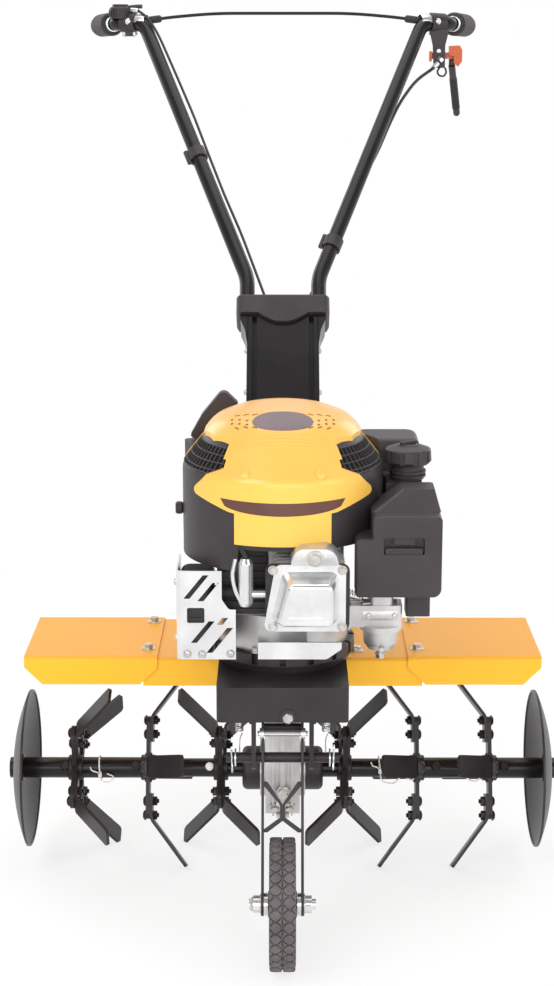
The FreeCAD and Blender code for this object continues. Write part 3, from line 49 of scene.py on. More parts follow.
FILM_THICKNESS = 0.6
UP = (0, 0, 1)
DOWN = (0, 0, -1)
FORWARD = (0, -1, 0)
BACKWARD = (0, 1, 0)
AXLE_Y = joints["rotor_spin"]["pos_m"][1]
AXLE_Z = joints["rotor_spin"]["pos_m"][2] / MM


def link(name, data):
    """A new object in the scene."""
    made = bpy.data.objects.new(name, data)
    bpy.context.collection.objects.link(made)
    return made


# ---- camera ----

LENS_MM = 69.4
CAMERA_BACK = 2.318
CAMERA_HEIGHT = 1.045
CAMERA_PITCH = 13.5
CAMERA_YAW = 0.18


def make_camera():
    """An eye at the height of the grips, straight in front of the tine axle and tilted down."""
    lens = bpy.data.cameras.new("camera")
    lens.lens = LENS_MM
    lens.clip_end = 100
    eye = link("camera", lens)
    eye.location = (0, AXLE_Y - CAMERA_BACK, CAMERA_HEIGHT)
    yaw = Matrix.Rotation(math.radians(CAMERA_YAW), 3, "Z")
    eye.rotation_euler = (yaw @ Matrix.Rotation(math.radians(90 - CAMERA_PITCH), 3, "X")).to_euler()
    bpy.context.scene.camera = eye


# ---- colours and materials ----

def linear(code):
    """An sRGB hex colour as linear RGBA."""
    channels = [int(code[i:i + 2], 16) / 255 for i in (1, 3, 5)]
    return tuple(c / 12.92 if c <= 0.04045 else ((c + 0.055) / 1.055) ** 2.4 for c in channels) + (1.0,)


def add(tree, kind, settings=None, *in_order, **links):
    """Adds a shader node: settings are properties or input values; links go in order or by name."""
    made = tree.nodes.new("ShaderNode" + kind)
    for name, value in (settings or {}).items():
        if hasattr(made, name):
            setattr(made, name, value)
        else:
            made.inputs[name].default_value = value
    for source, socket in zip(in_order, made.inputs):
        tree.links.new(source, socket)
    for name, source in links.items():
        tree.links.new(source, made.inputs[name.replace("_", " ")])
    return made


def new_material(name, colour, roughness, metallic=0.0, **sockets):
    """A material with its shader; returns the material, its tree and the shader."""
    material = bpy.data.materials.new(name)
    material.use_nodes = True
    tree = material.node_tree
    shader = tree.nodes["Principled BSDF"]
    shader.inputs["Base Color"].default_value = linear(colour)
    shader.inputs["Roughness"].default_value = roughness
    shader.inputs["Metallic"].default_value = metallic
    for socket, value in sockets.items():
        shader.inputs[socket.replace("_", " ")].default_value = value
    return material, tree, shader


def mottled(name, dark, light, rough, patch_mm, grain_mm, bump, metallic=0.0, upright=None, **sockets):
    """A surface that drifts between two tones under a fine bumped grain; where upright it may take a third
    tone as painted light.
    """
    material, tree, shader = new_material(name, light, rough[0], metallic, **sockets)
    place = add(tree, "TexCoord").outputs["Object"]
    patches = add(tree, "TexNoise", {"Scale": 1 / (patch_mm * MM), "Detail": 4.0}, Vector=place)
    tone = add(tree, "ValToRGB", Fac=patches.outputs["Fac"])
    for stop, position, code in zip(tone.color_ramp.elements, (0.3, 0.7), (dark, light)):
        stop.position = position
        stop.color = linear(code)
    colour = tone.outputs["Color"]
    # Painted light: upright faces blend by their normal into a lighter, yellower tone than the tops.
    if upright:
        facing = add(tree, "SeparateXYZ", Vector=add(tree, "NewGeometry").outputs["Normal"])
        share = add(tree, "MapRange", {"From Min": 0.8, "From Max": 0.25}, Value=facing.outputs["Z"])
        upright_painted_light = add(tree, "Mix", {"data_type": "RGBA"}, Factor=share.outputs["Result"])
        tree.links.new(colour, upright_painted_light.inputs[6])
        upright_painted_light.inputs[7].default_value = linear(upright)
        colour = upright_painted_light.outputs[2]
    tree.links.new(colour, shader.inputs["Base Color"])
    gloss = add(tree, "MapRange", {"To Min": rough[0], "To Max": rough[1]}, Value=patches.outputs["Fac"])
    tree.links.new(gloss.outputs["Result"], shader.inputs["Roughness"])
    grain = add(tree, "TexNoise", {"Scale": 1 / (grain_mm * MM), "Detail": 2.0}, Vector=place)
    depth = {"Strength": bump, "Distance": grain_mm * MM * 0.3}
    relief = add(tree, "Bump", depth, Height=grain.outputs["Fac"])
    tree.links.new(relief.outputs["Normal"], shader.inputs["Normal"])
    return material


# Black polyester powder coat on steel, baked: an even satin with a slight orange peel.
powder_coat = mottled("powder_coated_steel", "#2a2526", "#353031", (0.3, 0.42), 60, 1.6, 0.14,
                      Specular_IOR_Level=0.3)
# The same coat on drawn tube and the column: smoother, so it looks deeper.
tube_coat = mottled("powder_coated_tube", "#141112", "#1c1819", (0.2, 0.28), 80, 2.0, 0.06,
                    Specular_IOR_Level=0.35)
# The same coat over weld metal and its bolts: rougher, with no clear glints.
weld_black = mottled("powder_coated_weld", "#1a1717", "#262222", (0.38, 0.55), 6, 1.2, 0.5,
                     Specular_IOR_Level=0.3)
# Orange-yellow enamel sprayed on sheet: a smooth gloss, with painted light that turns upright faces yellower.
fender_enamel = mottled("sprayed_enamel_sheet", "#f0a32a", "#f6ac32", (0.3, 0.38), 160, 2.4, 0.05,
                        upright="#f8b92c", Specular_IOR_Level=0.3)
# Yellow ABS, injection moulded in a polished tool: a soft gloss, with painted light that turns upright faces
# yellower.
hood_plastic = mottled("moulded_yellow_abs", "#ecab50", "#f2b458", (0.28, 0.36), 120, 1.4, 0.05,
                       upright="#f4bf52", Coat_Weight=0.15)
# Black glass-filled nylon, moulded with a spark-eroded grain: satin, with no sharp reflections.
black_nylon = mottled("moulded_black_nylon", "#302b2e", "#3c3739", (0.4, 0.52), 50, 0.9, 0.25,
                      Specular_IOR_Level=0.4)
# Aluminium die casting, blasted: pale grey satin with a fine grain.
cast_aluminium = mottled("die_cast_aluminium", "#bdbcbb", "#dcdbda", (0.34, 0.46), 40, 0.8, 0.25, 0.8)
# Black paint over a sand casting: satin on a coarse grain.
painted_casting = mottled("painted_casting", "#322d2e", "#3e393a", (0.36, 0.5), 30, 1.4, 0.4)
# Bright zinc plate on pressed steel: near white, and sharp where it mirrors.
zinc_plate = mottled("zinc_plated_steel", "#dededf", "#f2f2f3", (0.2, 0.3), 40, 0.7, 0.08, 0.88)
# Passivated zinc plate on bolts: a little duller and warmer.
dull_zinc = mottled("passivated_zinc_bolts", "#bcb8b2", "#dcd9d5", (0.28, 0.42), 8, 0.5, 0.15, 0.9)
# Silicone paint baked on the exhaust: matt and slightly brown.
stove_black = mottled("heat_resistant_paint", "#1d1b1b", "#2d2a29", (0.55, 0.7), 22, 0.8, 0.3)
# Black tyre rubber, vulcanised: matt with a faint grey bloom.
tyre_rubber = mottled("vulcanised_tyre_rubber", "#524c4d", "#686162", (0.6, 0.75), 20, 0.7, 0.2)
# Soft thermoplastic rubber, moulded: a matt warm grey.
grip_rubber = mottled("soft_moulded_rubber", "#4c4547", "#5a5254", (0.6, 0.75), 14, 0.6, 0.3)
# Orange acetal, moulded: a waxy satin.
orange_acetal = mottled("moulded_orange_acetal", "#b8501f", "#c65c26", (0.35, 0.45), 20, 0.8, 0.08)
# Natural nylon, moulded thin: milky white.
white_nylon = mottled("natural_nylon_tie", "#e9e9e6", "#f6f6f4", (0.38, 0.5), 10, 0.8, 0.05)
# Vinyl film printed in one tone and left bare: flat and even.
warm_grey_film = mottled("warm_grey_vinyl_film", "#6c5c60", "#786669", (0.4, 0.5), 40, 0.8, 0.05)
brown_film = mottled("brown_vinyl_film", "#5a3831", "#653d2e", (0.4, 0.5), 40, 0.8, 0.05)
# Painted shade: a near-black sheet with no gloss behind the intake slats stands for the dark inside the fan
# cover.
painted_vent_shade = mottled("painted_shade_behind_vents", "#0b0a0b", "#121112", (0.6, 0.7), 50, 0.9, 0.05,
                     Specular_IOR_Level=0.2)
# Painted shade: brown, matt marks where the hood's moulded dimples hold shade.
hood_shade = mottled("painted_shade_in_hood_dimples", "#7c5414", "#8c6018", (0.5, 0.6), 30, 0.8, 0.05)
# Black rubber, extruded as hose and lead: smooth and a little dull.
black_rubber = mottled("extruded_black_rubber", "#1d1c1c", "#2b2a2a", (0.45, 0.6), 12, 0.6, 0.1)

FINISH_BY_SLOT = {
    "black_steel": powder_coat,
    "black_casting": painted_casting,
    "orange_yellow_paint": fender_enamel,
    "yellow_plastic": hood_plastic,
    "orange_plastic": orange_acetal,
    "black_plastic": black_nylon,
    "front_tyre_rubber": tyre_rubber,
    "grey_rubber": grip_rubber,
    "cast_aluminium": cast_aluminium,
    "bright_steel": zinc_plate,
    "dark_steel": stove_black,
}
TUBE_NODES = ("handle_left", "handle_right", "column_shell", "cross_rod", "rotor_shaft")


def finish_frame():
    """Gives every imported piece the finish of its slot, and the tubes their smoother coat."""
    for part in frame["record"]["subparts"]:
        mesh = nodes[part["node"]].data
        mesh.materials.clear()
        finish = FINISH_BY_SLOT[part["material_slot"]]
        mesh.materials.append(tube_coat if part["node"] in TUBE_NODES else finish)


# ---- floor and light ----

LIT_POINT = (0, -0.2, 0.5)
WHITE = (1, 1, 1, 1)
LARGER = {"operation": "MAXIMUM"}


def seen_level(tree, place, front):
    """Which rays see the surround, and how bright: white to the eye, dimmer in front of mirroring faces."""
    path = add(tree, "LightPath").outputs
    seen = add(tree, "Math", LARGER, path["Is Camera Ray"], path["Is Glossy Ray"])
    depth = add(tree, "SeparateXYZ", Vector=place)
    facing = add(tree, "MapRange", {"From Min": -0.4, "From Max": 0.6, "To Min": front, "To Max": 1.0},
                 Value=depth.outputs["Y"])
    level = add(tree, "Math", LARGER, path["Is Camera Ray"], facing.outputs["Result"])
    return seen.outputs[0], level.outputs[0]


def make_stage():
    """A pale floor that fades to plain white away from the object, and keeps its shadow."""
    form = bmesh.new()
    bmesh.ops.create_grid(form, x_segments=1, y_segments=1, size=30)
    mesh = bpy.data.meshes.new("floor")
    form.to_mesh(mesh)
    form.free()
    floor = link("floor", mesh)
    pale, tree, shader = new_material("matt_white_paint", "#fbfbfb", 0.9)
    place = add(tree, "TexCoord").outputs["Object"]
    reach = add(tree, "VectorMath", {"operation": "LENGTH"}, Vector=place)
    whiter = {"interpolation_type": "SMOOTHSTEP", "From Min": 0.4, "From Max": 1.2, "To Min": 0.72}
    fade = add(tree, "MapRange", whiter, Value=reach.outputs["Value"])
    seen, level = seen_level(tree, place, 1.0)
    share = add(tree, "Math", {"operation": "MULTIPLY"}, fade.outputs["Result"], seen)
    drift = add(tree, "TexNoise", {"Scale": 0.7, "Detail": 1.0}, Vector=place)
    tone = add(tree, "ValToRGB", Fac=drift.outputs["Fac"])
    tone.color_ramp.elements[0].color = linear("#fafafa")
    tone.color_ramp.elements[1].color = linear("#fdfdfd")
    tree.links.new(tone.outputs["Color"], shader.inputs["Base Color"])
    white = add(tree, "Emission", {"Color": WHITE}, Strength=level)
    blend = add(tree, "MixShader", None, share.outputs[0], shader.outputs[0], white.outputs[0])
    tree.links.new(blend.outputs[0], tree.nodes["Material Output"].inputs["Surface"])
    mesh.materials.append(pale)


def make_world():
    """A white surround that lights softly, and shows itself dim in front to polished faces."""
    world = bpy.data.worlds.new("studio")
    bpy.context.scene.world = world
    world.use_nodes = True
    tree = world.node_tree
    tree.nodes.clear()
    seen, level = seen_level(tree, add(tree, "TexCoord").outputs["Generated"], 0.3)
    strength = add(tree, "MapRange", {"To Min": 0.6}, Value=seen, To_Max=level)
    sky = add(tree, "Background", {"Color": WHITE}, Strength=strength.outputs["Result"])
    out = tree.nodes.new("ShaderNodeOutputWorld")
    tree.links.new(sky.outputs[0], out.inputs["Surface"])


def add_softbox(name, spot, size, power):
    """A rectangular lamp at a spot, aimed at the middle of the object."""
    lamp = bpy.data.lights.new(name, "AREA")
    lamp.shape = "RECTANGLE"
    lamp.size, lamp.size_y = size
    lamp.energy = power
    softbox = link(name, lamp)
    softbox.location = spot
    softbox.rotation_euler = (Vector(LIT_POINT) - Vector(spot)).to_track_quat("-Z", "Y").to_euler()


def make_lights():
    """Soft light from above the camera's left, filled from the right, the front, above and behind."""
    add_softbox("key", (-1.8, -2.6, 2.6), (1.6, 1.6), 42)
    add_softbox("fill", (2.4, -2.2, 1.6), (1.6, 2.0), 22)
    add_softbox("front", (0.2, -3.4, 1.1), (2.6, 1.4), 30)
    add_softbox("top", (0, 0.4, 3.2), (2.4, 2.4), 30)
    add_softbox("back_left", (-2.2, 2.2, 1.8), (1.2, 1.6), 16)
    add_softbox("back_right", (2.2, 2.2, 1.8), (1.2, 1.6), 16)


make_camera()
make_stage()
make_world()
make_lights()
finish_frame()


# ---- shaping ----

def seat(x, y, z, way=UP, turn=0.0):
    """A place in millimetres, y counted from the tine axle; its own Z looks along way, turned by degrees."""
    spin = Matrix.Rotation(math.radians(turn), 4, "Z")
    aim = Matrix.Identity(4) if way == UP else Vector(way).to_track_quat("Z", "Y").to_matrix().to_4x4()
    spot = Vector((x * MM, y * MM + AXLE_Y, z * MM))
    return Matrix.Translation(spot) @ aim @ spin @ Matrix.Scale(MM, 4)


HERE = seat(0, 0, 0)


def polar(radius, degrees):
    """The two legs of a radius at an angle: along the start and square to it."""
    return radius * math.cos(math.radians(degrees)), radius * math.sin(math.radians(degrees))


def about(place, axis, degrees):
    """The place turned about one of its own axes."""
    return place @ Matrix.Rotation(math.radians(degrees), 4, axis)


def moved(place, x, y, z):
    """The place shifted along its own axes."""
    return place @ Matrix.Translation((x, y, z))


def ease(form, edges, width, segments=2):
    """Rounds edges."""
    bmesh.ops.bevel(form, geom=list(edges), offset=width, offset_type="OFFSET", segments=segments,
                    profile=0.5, affect="EDGES", clamp_overlap=True, material=-1)


def turned(profile, steps):
    """A shape turned about Z from (radius, height) corners."""
    form = bmesh.new()
    corners = [form.verts.new((radius, 0, height)) for radius, height in profile]
    for pair in zip(corners, corners[1:]):
        form.edges.new(pair)
    bmesh.ops.spin(form, geom=form.verts[:] + form.edges[:], cent=(0, 0, 0), axis=(0, 0, 1),
                   angle=math.tau, steps=steps, use_merge=True)
    bmesh.ops.remove_doubles(form, verts=form.verts[:], dist=1e-4)
    return form


def sheet(outline, thickness, corner, edge=0.0):
    """A flat piece cut to (x, y) corners and thickness high, with its corners and then its edges rounded."""
    form = bmesh.new()
    face = form.faces.new([form.verts.new((x, y, 0)) for x, y in outline])
    grown = bmesh.ops.extrude_face_region(form, geom=[face])
    raised = [item for item in grown["geom"] if isinstance(item, bmesh.types.BMVert)]
    bmesh.ops.translate(form, verts=raised, vec=(0, 0, thickness))
    if corner:
        upright = [e for e in form.edges if abs(e.verts[0].co.z - e.verts[1].co.z) > thickness / 2]
        ease(form, upright, corner, 4)
    if edge:
        flat = [e for e in form.edges if abs(e.verts[0].co.z - e.verts[1].co.z) < thickness / 2]
        ease(form, [e for e in flat if e.verts[0].co.z > thickness / 2], edge)
    bmesh.ops.recalc_face_normals(form, faces=form.faces[:])
    return form


def box(low, high, edge=0.0):
    """A block between two corners with its edges rounded."""
    middle = [(a + b) / 2 for a, b in zip(low, high)]
    form = bmesh.new()
    bmesh.ops.create_cube(form, size=1.0)
    bmesh.ops.scale(form, verts=form.verts[:], vec=[b - a for a, b in zip(low, high)])
    bmesh.ops.translate(form, verts=form.verts[:], vec=middle)
    if edge:
        ease(form, form.edges, edge)
    return form


def wire(points, radius, sides):
    """A round bar along points."""
    points = [Vector(point) for point in points]
    runs = [(b - a).normalized() for a, b in zip(points, points[1:])]
    facings = [runs[0]] + [(a + b).normalized() for a, b in zip(runs, runs[1:])] + [runs[-1]]
    form = bmesh.new()
    bmesh.ops.create_circle(form, cap_ends=True, segments=sides, radius=radius)
    aim = facings[0].to_track_quat("Z", "Y").to_matrix().to_4x4()
    bmesh.ops.transform(form, matrix=Matrix.Translation(points[0]) @ aim, verts=form.verts[:])
    edges = form.edges[:]
    for i in range(1, len(points)):
        grown = bmesh.ops.extrude_edge_only(form, edges=edges)["geom"]
        front = [item for item in grown if isinstance(item, bmesh.types.BMVert)]
        edges = [item for item in grown if isinstance(item, bmesh.types.BMEdge)
                 and all(vertex in front for vertex in item.verts)]
        bmesh.ops.translate(form, verts=front, vec=points[i] - points[i - 1])
        swing = facings[i - 1].rotation_difference(facings[i]).to_matrix()
        bmesh.ops.rotate(form, verts=front, cent=points[i], matrix=swing)
    bmesh.ops.holes_fill(form, edges=edges, sides=sides)
    bmesh.ops.recalc_face_normals(form, faces=form.faces[:])
    return form


def curve_points(corners, steps):
    """Points along a smooth line through corners."""
    corners = [Vector(corner) for corner in corners]
    ends = [corners[0] * 2 - corners[1]] + corners + [corners[-1] * 2 - corners[-2]]
    points = []
    for a, b, c, d in zip(ends, ends[1:], ends[2:], ends[3:]):
        for i in range(steps):
            t = i / steps
            points.append(0.5 * (2 * b + (c - a) * t + (2 * a - 5 * b + 4 * c - d) * t * t
                                 + (3 * b - a - 3 * c + d) * t ** 3))
    return points + [corners[-1]]


def bent(corners, radius, sides=8, steps=6):
    """A round bar bent smoothly through corners."""
    return wire(curve_points(corners, steps), radius, sides)


def helix(radius, low, high, turns, per_turn=14):
    """Points of a coil about Z."""
    count = int(turns * per_turn)
    return [(radius * math.cos(math.tau * i / per_turn), radius * math.sin(math.tau * i / per_turn),
             low + (high - low) * i / count) for i in range(count + 1)]


def stamp(target, shape, *places):
    """Adds a copy of a shape to a piece at each place."""
    mesh = bpy.data.meshes.new("stamp")
    shape.to_mesh(mesh)
    for place in places:
        first = len(target.verts)
        target.from_mesh(mesh)
        target.verts.ensure_lookup_table()
        bmesh.ops.transform(target, matrix=place, verts=target.verts[first:])
    bpy.data.meshes.remove(mesh)


def fit(target, shape, *places):
    """Stamps a shape that isn't used again, and lets it go."""
    stamp(target, shape, *places)
    shape.free()


def placed(shape, *places):
    """A form of its own from one shape."""
    form = bmesh.new()
    fit(form, shape, *places)
    return form


def joined(*shapes):
    """One shape from several."""
    whole = bmesh.new()
    for shape in shapes:
        fit(whole, shape, Matrix.Identity(4))
    return whole


def hex_bolt(flats, height, washer=0.0, stem=0.0, stem_radius=0.0):
    """A hexagon head on a washer, with a chamfered top, a pressed mark and perhaps a thread beyond it."""
    head = bmesh.new()
    round_out = flats / math.sqrt(3)
    bmesh.ops.create_cone(head, cap_ends=True, segments=6, radius1=round_out, radius2=round_out, depth=height)
    top = [e for e in head.edges if all(v.co.z > 0 for v in e.verts)]
    ease(head, top, height * 0.12, 1)
    raise_by = height / 2 + (1.2 if washer else 0)
    bmesh.ops.translate(head, verts=head.verts[:], vec=(0, 0, raise_by))
    shapes = [head]
    if washer:
        shapes.append(turned([(0, 0), (washer, 0), (washer, 0.9), (washer - 0.4, 1.3), (0, 1.3)], 20))
    if stem:
        foot = raise_by + height / 2 - 0.2
        ridges = [(stem_radius * (1 if i % 2 else 0.86), foot + stem * i / 8) for i in range(9)]
        shapes.append(turned([(0, foot)] + ridges + [(0, foot + stem)], 12))
    return joined(*shapes)


def round_head(radius, height):
    """A domed rivet or carriage-bolt head."""
    return turned([(0, 0), (radius, 0), (radius, height * 0.25), (radius * 0.86, height * 0.62),
                   (radius * 0.5, height * 0.92), (0, height)], 16)


def cross_head(radius, height):
    """A pan-head screw with a cross recess, on a pressed washer."""
    head = turned([(0, 0), (radius, 0), (radius, height * 0.5), (radius * 0.85, height * 0.85),
                   (radius * 0.4, height), (0, height)], 16)
    long, short, low, high = radius * 0.5, radius * 0.1, height * 0.98, height * 1.04
    cross = joined(box((-long, -short, low), (long, short, high)),
                   box((-short, -long, low), (short, long, high)))
    return joined(head, cross, turned([(0, -0.8), (radius * 1.35, -0.8), (radius * 1.35, 0.1), (0, 0.1)], 18))


def hit(node, spot, way):
    """Where a line from spot, in millimetres, along way first meets a node, and how its surface faces."""
    start = Vector((spot[0] * MM, spot[1] * MM + AXLE_Y, spot[2] * MM))
    found, place, facing, _ = nodes[node].ray_cast(start, Vector(way).normalized())
    if not found:
        raise ValueError(f"{node} is missed from {spot}")
    return place, facing


def on(node, spot, way, turn=0.0):
    """A seat on a node's surface with its Z looking out of it."""
    place, facing = hit(node, spot, way)
    aim = facing.to_track_quat("Z", "Y").to_matrix().to_4x4()
    return Matrix.Translation(place) @ aim @ Matrix.Rotation(math.radians(turn), 4, "Z") @ Matrix.Scale(MM, 4)


def film(node, start, way):
    """A thin plate that follows a node's surface; start(u, v) gives where each line to it begins."""
    form = bmesh.new()
    bmesh.ops.create_grid(form, x_segments=28, y_segments=8, size=1.0)
    for vertex in form.verts:
        spot, facing = hit(node, start(vertex.co.x, vertex.co.y), way)
        vertex.co = spot + facing * FILM_LIFT * MM
    bmesh.ops.remove_doubles(form, verts=form.verts[:], dist=1e-5)
    bmesh.ops.recalc_face_normals(form, faces=form.faces[:])
    bmesh.ops.solidify(form, geom=form.faces[:], thickness=FILM_THICKNESS * MM)
    return form


def make_piece(name, material, form, body="chassis", stands_for=()):
    """Makes a shape a piece that rides on a body, smooth but for edges sharper than CREASE degrees."""
    bmesh.ops.recalc_face_normals(form, faces=form.faces[:])
    for face in form.faces:
        face.smooth = True
    for edge in form.edges:
        edge.smooth = edge.calc_face_angle(math.pi) < math.radians(CREASE)
    mesh = bpy.data.meshes.new(name)
    form.to_mesh(mesh)
    form.free()
    mesh.materials.append(material)
    piece = link(name, mesh)
    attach(piece, body)
    if stands_for:
        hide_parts(*stands_for)
    return piece


# ---- tine rotor ----

HUBS = []
for side, outer_phase in ((-1, 22.5), (1, 67.5)):
    HUBS += [(side * 80, 22.5, (side, -side)), (side * 174, 67.5, (-side, -side)),
             (side * 268, outer_phase, (-side, -side))]
BOLT_REACHES = (43, 61)
PIN_RADIUS = 13.0
DISC_X = 328.6


def make_tine_bolts():
    """Two carriage bolts through each tine: a domed head on the hub's side and a nut on the tine's."""
    bolts = bmesh.new()
    head = round_head(6.8, 4.4)
    nut = hex_bolt(10.5, 5.5, stem=2.5, stem_radius=3)
    for x, phase, bends in HUBS:
        for quarter in range(4):
            bend = bends[quarter % 2]
            for reach in BOLT_REACHES:
                up, across = polar(reach, phase + 90 * quarter)
                stamp(bolts, head, seat(x - bend * 2.5, -across, AXLE_Z + up, (-bend, 0, 0)))
                stamp(bolts, nut, seat(x + bend * 6.4, -across, AXLE_Z + up, (bend, 0, 0), 20 * quarter))
    head.free()
    nut.free()
    make_piece("tine_bolts", powder_coat, bolts, "tine_rotor")


def make_hub_welds():
    """A fillet weld round each hub, with the ripple of its passes."""
    welds = bmesh.new()
    bead = turned([(16.2, 0), (16.6, 1.1), (17.8, 1.7), (19.0, 1.2), (19.4, 0), (16.2, 0)], 72)
    for vertex in bead.verts:
        vertex.co.z *= 1 + 0.35 * math.sin(24 * math.atan2(vertex.co.y, vertex.co.x))
    for x, _, _ in HUBS:
        core = 12.6 if abs(x) < 100 else 13.9
        for side in (-1, 1):
            stamp(welds, bead, seat(x + side * 2.5, 0, AXLE_Z, (side, 0, 0)))
            collar = turned([(core, 0), (16.4, 0), (16.4, 0.6), (15.2, 1.5), (core, 1.5), (core, 0)], 32)
            fit(welds, collar, seat(x + side * 8, 0, AXLE_Z, (side, 0, 0)))
    bead.free()
    make_piece("hub_welds", weld_black, welds, "tine_rotor")


def make_shaft_pins():
    """Cross bolts that lock the outer hubs and discs to the shaft, each with its nut, and one white plug."""
    pins = bmesh.new()
    bolt = hex_bolt(10, 4.5, washer=6.5)
    nut = hex_bolt(10, 5, stem=3, stem_radius=3)
    for x in (-281, -189, 198, 286):
        for way, shape in ((1, bolt), (-1, nut)):
            up, across = polar(way, 62)
            stamp(pins, shape, seat(x, -PIN_RADIUS * across, AXLE_Z + PIN_RADIUS * up, (0, -across, up), 12))
    bolt.free()
    nut.free()
    make_piece("shaft_pins", weld_black, pins, "tine_rotor")
    plug = placed(round_head(5.5, 2.6), seat(-94.3, -11.6, AXLE_Z + 6, (0, -0.9, 0.45)))
    make_piece("shaft_plug", white_nylon, plug, "tine_rotor")


def make_shipping_ties():
    """Thin white ties round the shaft, each with its square lock and loose tails in front."""
    ties = bmesh.new()
    for x, lean, tails in ((-236, 196, 1), (126, 176, 1.5), (160, 190, 0.7), (238, 186, 1)):
        swings = [math.tau * i / 28 for i in range(29)]
        loop = wire([(14.6 * math.cos(a), 14.6 * math.sin(a), 1.4 * math.sin(a)) for a in swings], 1.0, 6)
        lock = box((12.6, -3, -2.4), (17.2, 3, 2.4), 0.7)
        tail = bent([(15.5, 2.4, 0), (18, 8 * tails, 3), (17.5, 10 * tails, 12 * tails),
                     (16, 3, 17 * tails), (16, -2, 9)], 0.9, 6)
        other = bent([(15.5, -2.4, 0), (18, -6, -4), (17, -8, -10), (15, -12, -12)], 0.9, 6)
        fit(ties, joined(loop, lock, tail, other), seat(x, 0, AXLE_Z, (1, 0, 0), lean))
    make_piece("shipping_ties", white_nylon, ties, "tine_rotor")


def make_disc_rims():
    """A rolled bead round each guard disc."""
    bead = turned([(99.2, 0), (101, -1.3), (101, -2.9), (99.4, -3.4), (97.6, -2.6), (97.8, -0.7), (99.2, 0)],
                  96)
    rims = placed(bead, *(seat(way * DISC_X, 0, AXLE_Z, (way, 0, 0)) for way in (-1, 1)))
    make_piece("disc_rims", powder_coat, rims, "tine_rotor")


# ---- front wheel and its folding bracket ----

WHEEL = (0, -305, 76)
AXLE_END = 24.5
BLOCKS = 34
TREAD_FOOT = 72.3
PIVOT = (-240, 230)
SPRING_X = 50


def make_tyre():
    """The carcass with its bead and bulged walls, and two rows of lozenge blocks each side of a groove."""
    wall = [(50.2, 10), (52.5, 11.6), (57, 13), (64, 14.8), (69, 15.2), (72.4, 13.8), (73.2, 11)]
    hub = seat(*WHEEL, (1, 0, 0))
    tyre = placed(turned(wall + [(radius, -width) for radius, width in reversed(wall)] + [wall[0]], 72), hub)
    for width, radius in ((14.6, 66), (12.4, 55)):
        band = turned([(radius - 0.8, width - 0.6), (radius, width + 0.5), (radius + 0.8, width - 0.6),
                       (radius - 0.8, width - 0.6)], 72)
        fit(tyre, band, hub, seat(*WHEEL, (-1, 0, 0)))
    lozenge = sheet([(-5.9, -1.7), (-2.2, -5.4), (2.2, -5.4), (5.9, -1.7), (5.9, 1.7), (2.2, 5.4),
                     (-2.2, 5.4), (-5.9, 1.7)], 3.4, 0, 0.7)
    infill = sheet([(0, -4.4), (0, 4.4), (4.2, 0.7), (4.2, -0.7)], 3.2, 0, 0.5)
    shoulder = sheet([(0, -4.6), (0, 4.6), (-3.6, 1.2), (-3.6, -1.2)], 3.0, 0, 0.5)
    upright = seat(*WHEEL)
    for i in range(BLOCKS):
        angle = 360 / BLOCKS * i
        for way in (-1, 1):
            stamp(tyre, lozenge, moved(about(upright, "X", angle), way * 7.6, 0, TREAD_FOOT))
            gap = about(upright, "X", angle + 180 / BLOCKS)
            facing = 0 if way > 0 else 180
            stamp(tyre, infill, about(moved(gap, way * 0.75, 0, TREAD_FOOT + 0.1), "Z", facing))
            edge = about(moved(gap, way * 14.3, 0, 71.6), "Y", way * 9)
            stamp(tyre, shoulder, about(edge, "Z", facing))
    for block in (lozenge, infill, shoulder):
        block.free()
    piece = make_piece("tyre_with_tread", tyre_rubber, tyre, "front_wheel", ("front_tyre",))


def make_axle_nuts():
    """A bolt head, a locking nut and washers outside the arms."""
    nuts = placed(hex_bolt(18, 7.5, washer=12), seat(AXLE_END, *WHEEL[1:], (1, 0, 0), 11))
    collar = turned([(0, 8.8), (8, 8.8), (8.3, 10.5), (6.6, 12.6), (0, 12.6)], 20)
    fit(nuts, joined(hex_bolt(18, 8, washer=12), collar), seat(-AXLE_END, *WHEEL[1:], (-1, 0, 0), 4))
    make_piece("axle_nuts", dull_zinc, nuts, "wheel_bracket")


def make_rod_clips():
    """A washer near each end of the pivot rod, and a wire clip whose straight leg passes through it."""
    clips = bmesh.new()
    waves = [(-9, 0, 0), (11, 0, 0), (15, 0, 1.4), (16.4, 0, 4.6), (14.6, 0, 7.4), (10, 0, 8),
             (4, 0, 5.2), (0, 0, 6.6), (-4, 0, 5.6), (-9, 0, 8.6), (-12, 0, 9.4)]
    clip = bent(waves, 1.05, steps=5)
    washer = turned([(6.1, 0), (10.5, 0), (10.5, 1.6), (6.1, 1.6), (6.1, 0)], 24)
    for way in (-1, 1):
        stamp(clips, clip, about(seat(way * 59, *PIVOT, FORWARD), "Z", 88 * way))
        stamp(clips, washer, seat(way * 54, *PIVOT, (way, 0, 0)))
    clip.free()
    washer.free()
    make_piece("rod_clips", zinc_plate, clips)


def make_frame_springs():
    """Coil springs hung under the deck, each hooked round the pivot rod."""
    for side, way in (("left", -1), ("right", 1)):
        coil = helix(4.1, 262, 316, 22)
        hook = [(0, 0, 236.6), (0, -2.4, 237.2), (0, -1.2, 241), (0, 0, 246), (0.6, 0, 254), (3.2, 0, 260)]
        spring = joined(wire(coil, 0.85, 6), bent(hook, 0.85, 6, 4))
        form = placed(spring, seat(way * SPRING_X, PIVOT[0], 0))
        make_piece(f"coil_spring_{side}", zinc_plate, form, stands_for=(f"frame_spring_{side}",))


# ---- frame, gear and fenders ----

ENGINE_Y = -130
DECK_Z = 322
CATCH = (-247, 262)


